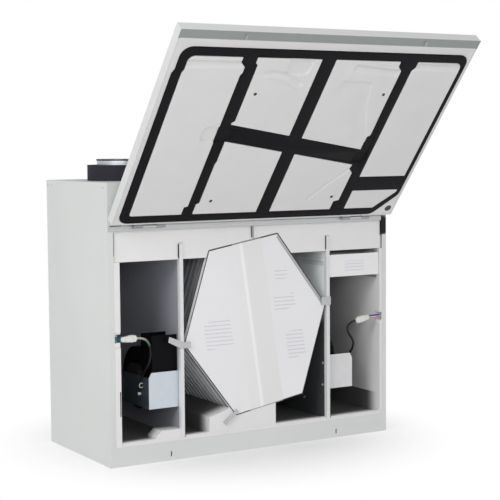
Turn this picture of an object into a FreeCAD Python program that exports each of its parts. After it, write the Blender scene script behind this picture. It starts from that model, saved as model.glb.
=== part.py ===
"""Heat recovery unit: a floor-standing cabinet with a lift-up door, a hexagonal exchanger and two fans.

The frame: +X right, +Y back, +Z up, origin at the middle of the cabinet's underside.
Every size is named once in SIZES and reaches the solids through the spreadsheet "dims".
"""
import FreeCAD, Part
import math
import os
import re
import Sketcher

SIZES = {
    # cabinet
    "width": 1000, "depth": 450, "height": 840, "gauge": 1.5, "seam": 0.3,
    "flange": 18, "rear_flange": 15, "band": 58, "band_return": 12, "back_upstand": 40,
    "fascia_bottom": 713, "return_depth": 3.7, "wall_rail_drop": 88, "wall_rail_height": 48,
    "wall_rail_inset": 70, "wall_rail_stand": 10, "wall_rail_hook": 18,
    # sealing plane and foam mouldings
    "front_depth": 4, "left_face": 37, "right_face": 26, "rear_foam": 25, "floor_level": 64,
    "lip_height": 70, "lip_depth": 20, "lip_step": 64.5, "lip_step_in": 3, "upstand": 127,
    "block_bottom": 606, "boss_reach": 85, "boss_height": 92, "boss_depth": 55, "boss_round": 18,
    "plenum_roof": 745, "plenum_front": 62, "plenum_inset": 8, "gully_width": 20, "wire_notch_z": 377,
    "wire_notch_height": 44, "wire_notch_depth": 26, "switch_room": 6, "edge_room": 1,
    # partitions
    "zone_shift": 6, "zone_width": 520, "partition": 10, "edge_wrap": 1, "edge_depth": 14,
    "edge_top": 654, "screen_top": 605.7, "divider_shift": 14, "divider_width": 6,
    "divider_rise": 7,
    # exchanger
    "exchanger_z": 391, "exchanger_tilt": 10, "hex_half_width": 261, "hex_half_height": 262,
    "hex_flat": 250, "hex_rear_gap": 9.7, "plate_gauge": 1.5, "skirt": 14, "core_inset": 2.4,
    "groove_depth": 9, "groove_width": 14, "groove_pitch": 28, "groove_count": 12, "groove_start": 36,
    "strap_gauge": 0.6, "strap_top_left": -41, "strap_top_right": 64, "strap_low_left": -72,
    "strap_low_right": 50, "seal_height": 32, "hex_clearance": 1.5,
    # support block under the exchanger, measured from the middle of the exchanger's bay
    "support_left": -172, "support_right": 67, "support_shoulder": 115, "support_top": 146,
    "support_slope_x": -91, "support_slope_z": 139,
    # fans
    "fan_z": 245, "left_fan_y": 132, "right_fan_y": 192, "scroll_start": 86, "scroll_growth": 6,
    "scroll_width": 84, "scroll_wall": 2, "outlet_span": 75, "outlet_top": 378, "inlet_radius": 56,
    "motor_hole": 48, "wheel_start": 12, "wheel_end": 68, "wheel_radius": 76, "wheel_inner": 38,
    "wheel_disc": 2, "blade_gauge": 2, "blade_sweep": 30, "blade_count": 11, "hub_radius": 12,
    "hub_length": 16, "shaft_radius": 4, "shaft_clearance": 0.05, "motor_radius": 40, "motor_gap": 3,
    "bracket_width": 100, "bracket_gauge": 1.5, "bracket_low": 158, "bracket_high": 268,
    "bracket_front": 18, "bracket_reach": 192, "bracket_cut_x": 9,
    "bracket_cut_z": 16, "gland_y": 74, "gland_z": 204, "gland_radius": 6, "gland_length": 8,
    # filter
    "filter_low": 521, "filter_height": 71, "filter_rear_gap": 33.7, "filter_wall": 6,
    "filter_play": 1.6, "pleat_gauge": 3, "pleat_count": 15, "rail_width": 12, "rail_gauge": 2,
    "angle_z": 558, "angle_reach": 12, "angle_length": 135, "angle_height": 16,
    # spigots
    "spigot_pitch": 226, "spigot_radius": 80, "spigot_wall": 1.5, "spigot_height": 66,
    "duct_radius": 75, "collar_radius": 110, "collar_height": 48, "spigot_hole_play": 0.2,
    # hinge and door
    "hinge_forward": 10, "hinge_z": 710, "open_angle": 140, "knuckle_radius": 5.5, "pin_radius": 2.5,
    "pin_clearance": 0.05, "rail_low": 697, "rail_high": 712, "hinge_rail_gauge": 2,
    "knuckle_width": 44, "leaf_width": 30, "hinge_inset": 130, "knuckle_gap": 0.5, "web_gauge": 4,
    "door_drop": 15, "door_length": 690, "door_outer": 22, "door_inner": 8, "door_rim": 5,
    "far_rim": 27, "leaf_back": 12, "leaf_front": 6, "channel_floor": 3.7, "gasket_top": 9.7,
    "pad_top": 12.7, "pad_gap": 1,
    # seal on the door: its loop, then its strips, measured from the partitions that they meet
    "loop_left": 18, "loop_right": 12, "loop_near": 22, "loop_far": 651, "loop_width": 27,
    "loop_right_width": 14, "round_far_left": 52, "round_far_right": 34, "round_near": 28,
    "pad_round": 24, "corner_cut_x": 72, "corner_cut_z": 82, "corner_cut_inner": 66,
    "strip_1_left": 12, "strip_1_right": 20, "strip_1_step": 9, "strip_1_step_low": 400,
    "strip_1_step_high": 597, "strip_2_left": 18, "strip_2_right": 28, "strip_3_left": 18,
    "strip_3_right": 27, "strip_3_step": 10, "strip_3_step_low": 350, "strip_3_step_high": 565,
    "strip_3_foot_low": 86, "strip_3_foot_high": 200, "cross_strip": 58, "cross_tilt": 11.1,
    "cross_rise": 8, "filter_strip": 56, "magnet_radius": 12, "magnet_inset": 27, "magnet_s": 46,
    "magnet_height": 5,
    # latches in the door's far edge
    "latch_x": 200, "latch_z": 20, "latch_knob": 42, "latch_knob_width": 12, "latch_knob_height": 6,
    "latch_stud": 2.2, "latch_wing": 14, "latch_wing_width": 3.4, "latch_wing_gauge": 1.6,
    "latch_reach": 4.6, "latch_play": 0.6,
    # turn clips
    "clip_gauge": 3, "clip_gap": 0.3, "clip_play": 2.5, "clip_head": 5, "clip_head_rise": 1.5,
    "right_pivot_rise": 10, "lower_pivot_x": -118, "lower_pivot_z": 95,
    # switch, control box, connectors, drain
    "switch_width": 21, "switch_low": 655, "switch_high": 706, "switch_body": 24, "switch_plate": 1.5,
    "control_inset": 45, "control_width": 355, "control_rise": 9, "control_drop": 12,
    "control_depth": 56, "plug_length": 54, "plug_height": 23, "plug_thick": 14, "plug_y": 6,
    "left_plug_inset": 42, "right_plug_inset": 114, "right_plug_tilt": 10, "right_plug_drop": 5,
    "wire_run": 44, "wire_radius": 4, "lead_radius": 3.5, "drain_x": 300, "drain_z": 34,
    "drain_radius": 10, "drain_bore": 8.5, "drain_reach": 24, "drain_stop": 16, "drain_stop_gauge": 2,
    "drain_socket": 12, "drain_socket_radius": 11,
}

doc = FreeCAD.newDocument("heat_recovery_unit")
dims = doc.addObject("Spreadsheet::Sheet", "dims")
for row, (size_name, size_value) in enumerate(SIZES.items(), 1):
    dims.set("A%d" % row, size_name)
    dims.set("B%d" % row, "%g" % size_value)
    dims.setAlias("B%d" % row, size_name)
probe = doc.addObject("App::FeaturePython", "probe")
probe.addProperty("App::PropertyFloat", "value")
doc.recompute()

# Places that several pieces share, as expressions over the sheet.
LEFT = "(-width / 2)"
RIGHT = "(width / 2)"
FRONT = "(-depth / 2)"
BACK = "(depth / 2)"
INSIDE_LEFT = "(-width / 2 + gauge + seam)"
INSIDE_RIGHT = "(width / 2 - gauge - seam)"
INSIDE_BACK = "(depth / 2 - 2 * gauge - seam)"
FOAM_BACK = "(depth / 2 - 2 * gauge - seam - rear_foam)"
FACE = "(-depth / 2 + front_depth)"
ZONE = "(zone_shift)"
LEFT_WALL = "(zone_shift - zone_width / 2 - partition)"
RIGHT_WALL = "(zone_shift + zone_width / 2)"
RIGHT_FACE = "(zone_shift + zone_width / 2 + partition)"
MIDDLE = "(zone_shift - divider_shift)"
HINGE_Y = "(-depth / 2 - hinge_forward)"
STAND = "(floor_level + seam)"
HEX_LENGTH = "(%s - %s - hex_rear_gap)" % (FOAM_BACK, FACE)
FILTER_LENGTH = "(%s - %s - filter_rear_gap)" % (FOAM_BACK, FACE)
SWITCH_LEFT = "(width / 2 - switch_width)"
AXES = {"X": FreeCAD.Vector(1, 0, 0), "Y": FreeCAD.Vector(0, 1, 0), "Z": FreeCAD.Vector(0, 0, 1)}
nodes = {}


def corner(distance):
    """Expression for a place measured from the cabinet's left side."""
    return "(%s - width / 2)" % distance


def bound(text):
    """Expression text with every size name pointed at its cell in the sheet."""
    return re.sub(r"[a-z][a-z_0-9]*", lambda word: ("dims." if word[0] in SIZES else "") + word[0], str(text))


def number(text):
    """Present value of an expression over the sheet."""
    probe.setExpression("value", bound(text))
    probe.recompute()
    return probe.value


def tie(thing, **properties):
    """Bind properties of an object to expressions over the sheet."""
    for name, text in properties.items():
        thing.setExpression(name, bound(text))


def place(thing, x=0, y=0, z=0, axis="Z", angle=0):
    """Put an object at a point given by expressions, turned about one axis through that point."""
    turn = number(angle)
    thing.Placement = FreeCAD.Placement(FreeCAD.Vector(), FreeCAD.Rotation(AXES[axis], turn))
    if turn:
        thing.setExpression(".Placement.Rotation.Angle", bound(angle))
    thing.setExpression(".Placement.Base.x", bound(x))
    thing.setExpression(".Placement.Base.y", bound(y))
    thing.setExpression(".Placement.Base.z", bound(z))
    return thing


def block(x0, x1, y0, y1, z0, z1):
    """Box between six planes, each an expression."""
    box = doc.addObject("Part::Box", "box")
    tie(box, Length="(%s) - (%s)" % (x1, x0), Width="(%s) - (%s)" % (y1, y0), Height="(%s) - (%s)" % (z1, z0))
    return place(box, x0, y0, z0)


def rod(radius, x, y, z, length, axis="Z"):
    """Cylinder from a point along one axis."""
    cylinder = doc.addObject("Part::Cylinder", "rod")
    tie(cylinder, Radius=radius, Height=length)
    place(cylinder, x, y, z)
    if axis == "X":
        cylinder.Placement.Rotation = FreeCAD.Rotation(AXES["Y"], 90)
    if axis == "Y":
        cylinder.Placement.Rotation = FreeCAD.Rotation(AXES["X"], -90)
    return cylinder


def fuse(*parts):
    """One solid out of several that meet."""
    joined = doc.addObject("Part::MultiFuse", "joined")
    joined.Shapes = list(parts)
    joined.Refine = True
    return joined


def cut(base, *tools):
    """A base with tools taken out of it."""
    result = doc.addObject("Part::Cut", "cut")
    result.Base = base
    result.Tool = tools[0] if len(tools) == 1 else fuse(*tools)
    result.Refine = True
    return result


def group(*parts):
    """Separate solids that share one node."""
    bundle = doc.addObject("Part::Compound", "bundle")
    bundle.Links = list(parts)
    return bundle


def node(label, thing):
    """Name a finished piece."""
    thing.Label = label
    nodes[label] = thing
    return thing


def new_body():
    return doc.addObject("PartDesign::Body", "body")


def plane_of(body, name):
    """One of the body's own origin planes, such as XY."""
    return next(item for item in body.Origin.OriginFeatures if item.Role == name + "_Plane")


def new_sketch(body, plane, lift=0):
    """Sketch on an origin plane, raised along the plane's normal."""
    sketch = body.newObject("Sketcher::SketchObject", "sketch")
    sketch.AttachmentSupport = [(plane_of(body, plane), "")]
    sketch.MapMode = "FlatFace"
    sketch.setExpression(".AttachmentOffset.Base.z", bound(lift))
    return sketch


def pin_down(sketch, index, end, u, v):
    """Hold one end of a sketch line at a point given by expressions."""
    for kind, text in (("DistanceX", u), ("DistanceY", v)):
        row = sketch.addConstraint(Sketcher.Constraint(kind, -1, 1, index, end, number(text)))
        sketch.setExpression("Constraints[%d]" % row, bound(text))


def softened(points):
    """Vertices of an outline, with each (u, v, radius) corner between upright and level sides opened."""
    vertices = []
    count = len(points)
    for index, point in enumerate(points):
        u, v = point[:2]
        if len(point) == 2:
            vertices.append((u, v, None))
            continue
        radius = point[2]
        for other in (points[index - 1], points[(index + 1) % count]):
            across = number(other[0]) - number(u)
            along = number(other[1]) - number(v)
            if abs(across) > abs(along):
                end = ("(%s %s %s)" % (u, "+" if across > 0 else "-", radius), v)
            else:
                end = (u, "(%s %s %s)" % (v, "+" if along > 0 else "-", radius))
            vertices.append((*end, radius if other is points[index - 1] else None))
    return vertices


def outline(sketch, points):
    """Closed outline through corners given by expressions; a third item rounds a square corner."""
    vertices = softened(points)
    count = len(vertices)
    flat = [FreeCAD.Vector(number(u), number(v), 0) for u, v, radius in vertices]
    first = len(sketch.Geometry)
    opening_ends = []
    for index, (u, v, radius) in enumerate(vertices):
        start = flat[index]
        end = flat[(index + 1) % count]
        if radius is None:
            sketch.addGeometry(Part.LineSegment(start, end), False)
            opening_ends.append(1)
            continue
        ahead = flat[(index + 2) % count] - end
        turn = (end - start).cross(ahead).z
        chord = end - start
        side = 1 if turn > 0 else -1
        centre = (start + end) * 0.5 + FreeCAD.Vector(-chord.y, chord.x, 0) * (0.5 * side)
        angles = [math.atan2(point.y - centre.y, point.x - centre.x) for point in (start, end)]
        if side < 0:
            angles.reverse()
        circle = Part.Circle(centre, FreeCAD.Vector(0, 0, 1), number(radius))
        sketch.addGeometry(Part.ArcOfCircle(circle, angles[0], angles[1]), False)
        opening_ends.append(1 if side > 0 else 2)
    for index in range(count):
        following = (index + 1) % count
        sketch.addConstraint(Sketcher.Constraint("Coincident", first + index, 3 - opening_ends[index],
                                                 first + following, opening_ends[following]))
    for index, (u, v, radius) in enumerate(vertices):
        pin_down(sketch, first + index, opening_ends[index], u, v)
        if radius is not None:
            row = sketch.addConstraint(Sketcher.Constraint("Radius", first + index, number(radius)))
            sketch.setExpression("Constraints[%d]" % row, bound(radius))


def ring(sketch, radius, u=0, v=0):
    """Circle in a sketch."""
    index = len(sketch.Geometry)
    centre = FreeCAD.Vector(number(u), number(v), 0)
    sketch.addGeometry(Part.Circle(centre, FreeCAD.Vector(0, 0, 1), number(radius)), False)
    pin_down(sketch, index, 3, u, v)
    row = sketch.addConstraint(Sketcher.Constraint("Radius", index, number(radius)))
    sketch.setExpression("Constraints[%d]" % row, bound(radius))


def pad(body, sketch, length, back=False):
    """Pad along the sketch's normal, or against it."""
    feature = body.newObject("PartDesign::Pad", "pad")
    feature.Profile = sketch
    feature.Reversed = back
    tie(feature, Length=length)
    return feature


def pocket(body, sketch, length, back=False):
    """Pocket against the sketch's normal, or along it."""
    feature = body.newObject("PartDesign::Pocket", "pocket")
    feature.Profile = sketch
    feature.Reversed = back
    tie(feature, Length=length)
    return feature


def bar(plane, points, length, lift=0):
    """Body padded from one outline: XY pads up, YZ pads right, XZ pads back."""
    body = new_body()
    back = plane == "XZ"
    sketch = new_sketch(body, plane, "-(%s)" % lift if back else lift)
    outline(sketch, points)
    pad(body, sketch, length, back)
    return body


def turned(points):
    """Body revolved about its own Z axis from (radius, height) points."""
    body = new_body()
    sketch = new_sketch(body, "XZ")
    outline(sketch, points)
    feature = body.newObject("PartDesign::Revolution", "revolution")
    feature.Profile = sketch
    feature.ReferenceAxis = (sketch, ["V_Axis"])
    feature.Angle = 360
    return body


# Casing -------------------------------------------------------------------------------------------


def side_panel(label, side):
    """Outer wall with its front and rear return flanges; side is - for left and + for right."""
    def across(distance):
        return "(%s width / 2 %s (%s))" % (side, "+" if side == "-" else "-", distance)

    def wall(d0, d1, y0, y1, z0, z1):
        low, high = (across(d0), across(d1)) if side == "-" else (across(d1), across(d0))
        return block(low, high, y0, y1, z0, z1)

    top = "fascia_bottom" if side == "-" else "(switch_low - 4)"
    return node(label, fuse(
        wall("0", "gauge", FRONT, "depth / 2 - gauge", "0", "height"),
        wall("gauge", "flange", FRONT, FRONT + " + gauge", "band", top),
        wall("gauge", "rear_flange", "depth / 2 - 2 * gauge", "depth / 2 - gauge", "band", "height - band")))


side_panel("left_side_panel", "-")
side_panel("right_side_panel", "+")

ACROSS = "(width - 2 * gauge)"
LATCHES = {"left": corner("latch_x"), "right": corner("(width - latch_x)")}
base = bar("YZ", [
    (FRONT, "0"), ("depth / 2 - gauge", "0"), ("depth / 2 - gauge", "back_upstand"),
    ("depth / 2 - 2 * gauge", "back_upstand"), ("depth / 2 - 2 * gauge", "gauge"),
    (FRONT + " + gauge", "gauge"), (FRONT + " + gauge", "band - gauge"),
    (FRONT + " + band_return", "band - gauge"), (FRONT + " + band_return", "band"), (FRONT, "band")],
    ACROSS)
place(base, LEFT + " + gauge")


def latch_slot(x):
    """Upright slot that a latch wing passes."""
    half_width = "(latch_wing_width / 2 + latch_play)"
    half_height = "(latch_wing / 2 + latch_play)"
    return block("%s - %s" % (x, half_width), "%s + %s" % (x, half_width), FRONT + " - 1",
                 FRONT + " + gauge + 1", "latch_z - " + half_height, "latch_z + " + half_height)


DRAIN_X = corner("drain_x")
node("base_panel", cut(
    base,
    rod("drain_socket_radius + seam", DRAIN_X, "depth / 2 - 2 * gauge - 1", "drain_z", "gauge + 2", "Y"),
    *[latch_slot(x) for x in LATCHES.values()]))

fascia = bar("YZ", [
    (FRONT, "fascia_bottom"), (FRONT + " + return_depth", "fascia_bottom"),
    (FRONT + " + return_depth", "fascia_bottom + gauge"), (FRONT + " + gauge", "fascia_bottom + gauge"),
    (FRONT + " + gauge", "height"), (FRONT, "height")], ACROSS)
place(fascia, LEFT + " + gauge")
node("upper_fascia", fascia)

SPIGOTS = ["(%s * spigot_pitch)" % step for step in ("-1.5", "-0.5", "0.5", "1.5")]
node("top_panel", cut(
    block(LEFT + " + gauge", RIGHT + " - gauge", FRONT + " + gauge", "depth / 2 - gauge",
          "height - gauge", "height"),
    *[rod("spigot_radius + spigot_hole_play", x, 0, "height - gauge - 1", "gauge + 2") for x in SPIGOTS]))

RAIL_LOW = "(height - wall_rail_drop)"
RAIL_BEND = "(%s + wall_rail_hook)" % RAIL_LOW
RAIL_STAND = "(%s + wall_rail_stand)" % BACK
wall_rail = bar("YZ", [
    (BACK, RAIL_BEND), (RAIL_STAND + " - gauge", RAIL_BEND), (RAIL_STAND + " - gauge", RAIL_LOW),
    (RAIL_STAND, RAIL_LOW), (RAIL_STAND, RAIL_BEND + " + gauge"),
    (BACK + " + gauge", RAIL_BEND + " + gauge"), (BACK + " + gauge", RAIL_LOW + " + wall_rail_height"),
    (BACK, RAIL_LOW + " + wall_rail_height")], "width - 2 * wall_rail_inset")
place(wall_rail, LEFT + " + wall_rail_inset")
node("back_panel", fuse(wall_rail, cut(
    block(LEFT, RIGHT, "depth / 2 - gauge", BACK, "0", "height"),
    rod("drain_socket_radius + seam", DRAIN_X, "depth / 2 - gauge - 1", "drain_z", "gauge + 2", "Y"))))

HINGES = [LEFT + " + hinge_inset", RIGHT + " - hinge_inset"]
rail_parts = [block(LEFT + " + gauge", SWITCH_LEFT + " - 1", FRONT + " - hinge_rail_gauge", FRONT,
                    "rail_low", "rail_high")]
for x in HINGES:
    rail_parts.append(rod("knuckle_radius", x + " - knuckle_width / 2", HINGE_Y, "hinge_z",
                          "knuckle_width", "X"))
    rail_parts.append(block(x + " - knuckle_width / 2", x + " + knuckle_width / 2", HINGE_Y,
                            FRONT + " - hinge_rail_gauge", "hinge_z - knuckle_radius",
                            "hinge_z - knuckle_radius + web_gauge"))
node("hinge_rail", cut(fuse(*rail_parts), *[
    rod("pin_radius + pin_clearance", x + " - knuckle_width", HINGE_Y, "hinge_z", "2 * knuckle_width", "X")
    for x in HINGES]))
PIN_LENGTH = "(knuckle_width + 2 * leaf_width + 2 * knuckle_gap)"
node("hinge_pins", group(*[
    rod("pin_radius", "%s - %s / 2" % (x, PIN_LENGTH), HINGE_Y, "hinge_z", PIN_LENGTH, "X")
    for x in HINGES]))

# Exchanger ----------------------------------------------------------------------------------------
SLANT = "(sqrt(pow(hex_half_width - hex_flat / 2; 2) + pow(hex_half_height; 2)) / hex_half_height)"


def hexagon(inset):
    """Corners of the exchanger's outline moved in by a distance, in its own upright frame."""
    side = "(hex_half_width - (%s) * %s)" % (inset, SLANT)
    top = "(hex_half_height - (%s))" % inset
    reach = "(hex_half_width - (hex_half_width - hex_flat / 2) * (hex_half_height - (%s))" \
            " / hex_half_height - (%s) * %s)" % (inset, inset, SLANT)
    return [(side, "0"), (reach, top), ("-" + reach, top), ("-" + side, "0"),
            ("-" + reach, "-" + top), (reach, "-" + top)]


def at_exchanger(thing, y):
    """Stand a piece drawn in the exchanger's frame at its tilted place."""
    return place(thing, ZONE, y, "exchanger_z", "Y", "-exchanger_tilt")


def end_plate(label, y, mouth_back):
    """Hexagonal end plate with a skirt turned towards the core."""
    body = new_body()
    face = new_sketch(body, "XZ")
    outline(face, hexagon("0"))
    pad(body, face, "plate_gauge + skirt", True)
    hollow = new_sketch(body, "XZ", "-plate_gauge" if mouth_back else "0")
    outline(hollow, hexagon("plate_gauge"))
    pocket(body, hollow, "skirt", False)
    at_exchanger(body, y)
    return node(label, body)


end_plate("exchanger_front_plate", FACE, True)
end_plate("exchanger_back_plate", "%s + %s - skirt - plate_gauge" % (FACE, HEX_LENGTH), False)

core = new_body()
core_face = new_sketch(core, "XZ")
outline(core_face, hexagon("core_inset"))
pad(core, core_face, HEX_LENGTH + " - 2 * plate_gauge - 2 * seam", True)
groove_face = new_sketch(core, "XZ", "-groove_start")
outline(groove_face, hexagon("-1"))
outline(groove_face, hexagon("core_inset + groove_depth"))
groove = pocket(core, groove_face, "groove_width", False)
comb = core.newObject("PartDesign::LinearPattern", "comb")
comb.Originals = [groove]
comb.Direction = (core_face, ["N_Axis"])
comb.Reversed = True
tie(comb, Length="groove_pitch * (groove_count - 1)", Occurrences="groove_count")
core.Tip = comb
at_exchanger(core, FACE + " + plate_gauge + seam")
node("exchanger_core", core)

strap = bar("XZ", [("strap_low_left", "-hex_half_height"), ("strap_low_right", "-hex_half_height"),
                   ("strap_top_right", "hex_half_height"), ("strap_top_left", "hex_half_height")],
            "strap_gauge")
at_exchanger(strap, FACE + " - strap_gauge")
node("exchanger_strap", strap)


def hex_tool(clearance, y0, y1):
    """Exchanger's outline with a clearance, for cutting its seat in a moulding."""
    tool = bar("XZ", hexagon("-(%s)" % clearance), "(%s) - (%s)" % (y1, y0))
    return at_exchanger(tool, y0)


SINE = "sin(exchanger_tilt)"
COSINE = "cos(exchanger_tilt)"
TIP_DROP = "(hex_half_width * %s)" % SINE
TIP_REACH = "(hex_half_width * %s)" % COSINE
HEX_BACK = "(%s + %s)" % (FACE, HEX_LENGTH)
node("exchanger_seals", group(
    block(LEFT_WALL + " + partition + seam", ZONE + " - %s - seam" % TIP_REACH, FACE + " + edge_depth",
          HEX_BACK, "exchanger_z - %s - seal_height / 2" % TIP_DROP,
          "exchanger_z - %s + seal_height / 2" % TIP_DROP),
    block(ZONE + " + %s + seam" % TIP_REACH, RIGHT_WALL + " - seam", FACE + " + edge_depth",
          HEX_BACK, "exchanger_z + %s - seal_height / 2" % TIP_DROP,
          "exchanger_z + %s + seal_height / 2" % TIP_DROP)))

# Foam mouldings -----------------------------------------------------------------------------------


def flange_room(z0, z1):
    """Space behind the side panels' front flanges, for cutting out of the foam."""
    return [block(LEFT, LEFT + " + flange + seam", FRONT + " - 1", FRONT + " + gauge + seam", z0, z1),
            block(RIGHT + " - flange - seam", RIGHT, FRONT + " - 1", FRONT + " + gauge + seam", z0, z1)]


CONTROL_RIGHT = "(%s - control_inset)" % RIGHT
CONTROL_LEFT = "(%s - control_width)" % CONTROL_RIGHT
CONTROL_LOW = "(fascia_bottom + control_rise)"
CONTROL_HIGH = "(height - control_drop)"
top_cuts = [
    hex_tool("hex_clearance", FRONT, HEX_BACK + " + switch_room"),
    block(CONTROL_LEFT + " - seam", CONTROL_RIGHT + " + seam", FRONT,
          FACE + " + control_depth + 2 * seam", CONTROL_LOW + " - seam", CONTROL_HIGH + " + seam"),
    block(SWITCH_LEFT + " - switch_plate", RIGHT, FRONT, FRONT + " + switch_body + switch_room",
          "switch_low - switch_room", "rail_high"),
]
for x in SPIGOTS:
    top_cuts.append(rod("duct_radius", x, 0, "block_bottom - 1", "height"))
for start, end in ((LEFT_WALL + " + partition", MIDDLE), (MIDDLE, RIGHT_WALL)):
    top_cuts.append(block(start + " + plenum_inset", end + " - plenum_inset", FRONT + " + plenum_front",
                          FOAM_BACK + " - plenum_inset", "block_bottom - 1", "plenum_roof"))
for wall in (LEFT_WALL, RIGHT_WALL):
    top_cuts.append(block(wall + " - edge_wrap - edge_room", wall + " + partition + edge_wrap + edge_room",
                          FRONT, FRONT + " + edge_depth + edge_room", "block_bottom - 1",
                          "edge_top + edge_room"))
node("top_block", cut(
    block(INSIDE_LEFT, INSIDE_RIGHT, FACE, INSIDE_BACK, "block_bottom", "height - gauge - seam"),
    *top_cuts))

GULLY_Y = "(%s - gully_width)" % FOAM_BACK
FLOOR_FRONT = "(-depth / 2 + band_return + seam)"
tray = bar("YZ", [
    (FLOOR_FRONT, "gauge + seam"), (INSIDE_BACK, "gauge + seam"), (INSIDE_BACK, "upstand"),
    (FOAM_BACK, "upstand"), (FOAM_BACK, "floor_level"), (FRONT + " + lip_depth", "floor_level"),
    (FRONT + " + lip_depth", "lip_height"), (FRONT + " + lip_step_in", "lip_height"),
    (FRONT + " + lip_step_in", "lip_step"), (FRONT, "lip_step"), (FRONT, "band + seam"),
    (FLOOR_FRONT, "band + seam")], "width - 2 * gauge - 2 * seam")
place(tray, INSIDE_LEFT)
BOSS_LEFT = "(%s - boss_reach)" % LEFT_WALL
BOSS_RIGHT = "(%s - edge_wrap - seam)" % LEFT_WALL
boss = bar("XZ", [
    (BOSS_LEFT, "floor_level - 1"), (BOSS_RIGHT, "floor_level - 1"), (BOSS_RIGHT, "boss_height"),
    (BOSS_LEFT + " + boss_round", "boss_height"), (BOSS_LEFT, "boss_height - boss_round")], "boss_depth")
place(boss, 0, FACE)
foot_cuts = []
for wall in (LEFT_WALL, RIGHT_WALL):
    foot_cuts.append(block(wall + " - edge_wrap - seam", wall + " + partition + edge_wrap + seam",
                           FRONT + " - 1", FRONT + " + lip_depth + 1", STAND + " - seam", "upstand"))
foot_cuts.append(block(ZONE + " + support_left - seam", ZONE + " + support_right + seam",
                       FACE + " - seam", FRONT + " + lip_depth + 1", "floor_level", "upstand"))
node("floor_block", cut(fuse(
    tray, boss,
    block(INSIDE_LEFT, corner("left_face"), FRONT, FOAM_BACK, "lip_step", "upstand"),
    block(corner("(width - right_face)"), INSIDE_RIGHT, FRONT, FOAM_BACK, "lip_step", "upstand")),
    *foot_cuts,
    *flange_room("band", "upstand + 1"),
    rod("drain_socket_radius + seam", DRAIN_X, INSIDE_BACK + " - drain_socket - seam", "drain_z",
        "drain_socket + 2", "Y"),
    rod("drain_bore", DRAIN_X, GULLY_Y, "drain_z", INSIDE_BACK + " - " + GULLY_Y, "Y"),
    rod("drain_bore", DRAIN_X, GULLY_Y, "drain_z", "upstand")))

NOTCH_LOW = "(wire_notch_z - wire_notch_height / 2)"
NOTCH_HIGH = "(wire_notch_z + wire_notch_height / 2)"
node("left_lining", cut(
    block(INSIDE_LEFT, corner("left_face"), FRONT, FOAM_BACK + " - seam", "upstand + seam",
          "block_bottom - seam"),
    *flange_room("band", "height"),
    block(LEFT, corner("left_face") + " + 1", FRONT + " - 1", FRONT + " + wire_notch_depth",
          NOTCH_LOW, NOTCH_HIGH)))
node("right_lining", cut(
    block(corner("(width - right_face)"), INSIDE_RIGHT, FRONT, FOAM_BACK + " - seam", "upstand + seam",
          "block_bottom - seam"),
    *flange_room("band", "height"),
    block(corner("(width - right_face)") + " - 1", RIGHT, FRONT + " - 1", FRONT + " + wire_notch_depth",
          NOTCH_LOW, NOTCH_HIGH)))
node("back_lining", block(INSIDE_LEFT, INSIDE_RIGHT, FOAM_BACK, INSIDE_BACK, "upstand + seam",
                          "block_bottom - seam"))
node("duct_divider_strip", block(MIDDLE + " - divider_width / 2", MIDDLE + " + divider_width / 2", FRONT,
                                 FACE + " - seam", "exchanger_z + hex_half_height + divider_rise",
                                 "rail_low + divider_width"))

support = bar("XZ", [
    ("support_left", STAND), ("support_right", STAND), ("support_right", "support_top"),
    ("support_slope_x", "support_top"), ("support_slope_x", "support_slope_z"),
    ("support_left", "support_shoulder")], FOAM_BACK + " - seam - " + FACE)
place(support, ZONE, FACE)
node("support_block", cut(support, hex_tool("seam", FRONT, BACK)))

# Partitions ---------------------------------------------------------------------------------------


def partition(side, wall, fan_y):
    """Steel-faced partition with its fan opening and the white channel over its front edge."""
    body = block(wall, wall + " + partition", FRONT + " + edge_wrap + seam", FOAM_BACK + " - seam", STAND,
                 "screen_top")
    front_tab = block(wall, wall + " + partition", FRONT + " + edge_wrap + seam", FRONT + " + edge_depth",
                      "screen_top - 1", "edge_top")
    opening = rod("inlet_radius", wall + " - 1", fan_y, "fan_z", "partition + 2", "X")
    node(side + "_partition", cut(fuse(body, front_tab), opening))
    outer = block(wall + " - edge_wrap", wall + " + partition + edge_wrap", FRONT, FRONT + " + edge_depth",
                  STAND, "edge_top")
    inner = block(wall, wall + " + partition", FRONT + " + edge_wrap", FRONT + " + edge_depth + 1",
                  STAND + " - 1", "edge_top + 1")
    node(side + "_partition_edge", cut(outer, inner))


LEFT_FAN_Y = "(-depth / 2 + left_fan_y)"
RIGHT_FAN_Y = "(-depth / 2 + right_fan_y)"
partition("left", LEFT_WALL, LEFT_FAN_Y)
partition("right", RIGHT_WALL, RIGHT_FAN_Y)
ANGLE_BACK = FRONT + " + angle_length"
node("partition_angle", fuse(
    block(RIGHT_WALL + " - rail_gauge - seam", RIGHT_WALL + " - seam", FRONT + " + edge_depth + edge_room",
          ANGLE_BACK, "angle_z", "angle_z + angle_height"),
    block(RIGHT_WALL + " - angle_reach", RIGHT_WALL + " - seam", FRONT + " + edge_depth + edge_room",
          ANGLE_BACK, "angle_z + angle_height", "angle_z + angle_height + rail_gauge")))

# Fans ---------------------------------------------------------------------------------------------


def quarter(radius, x, y, z, length, start):
    """Quarter of a cylinder lying along X; start is where it begins, from back (0) round to up (90)."""
    piece = doc.addObject("Part::Cylinder", "quarter")
    tie(piece, Radius=radius, Height=length)
    piece.Angle = 90
    place(piece, x, y, z)
    lying = FreeCAD.Rotation(FreeCAD.Vector(1, 1, 1), 120)
    piece.Placement.Rotation = FreeCAD.Rotation(AXES["X"], start).multiply(lying)
    return piece


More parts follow.
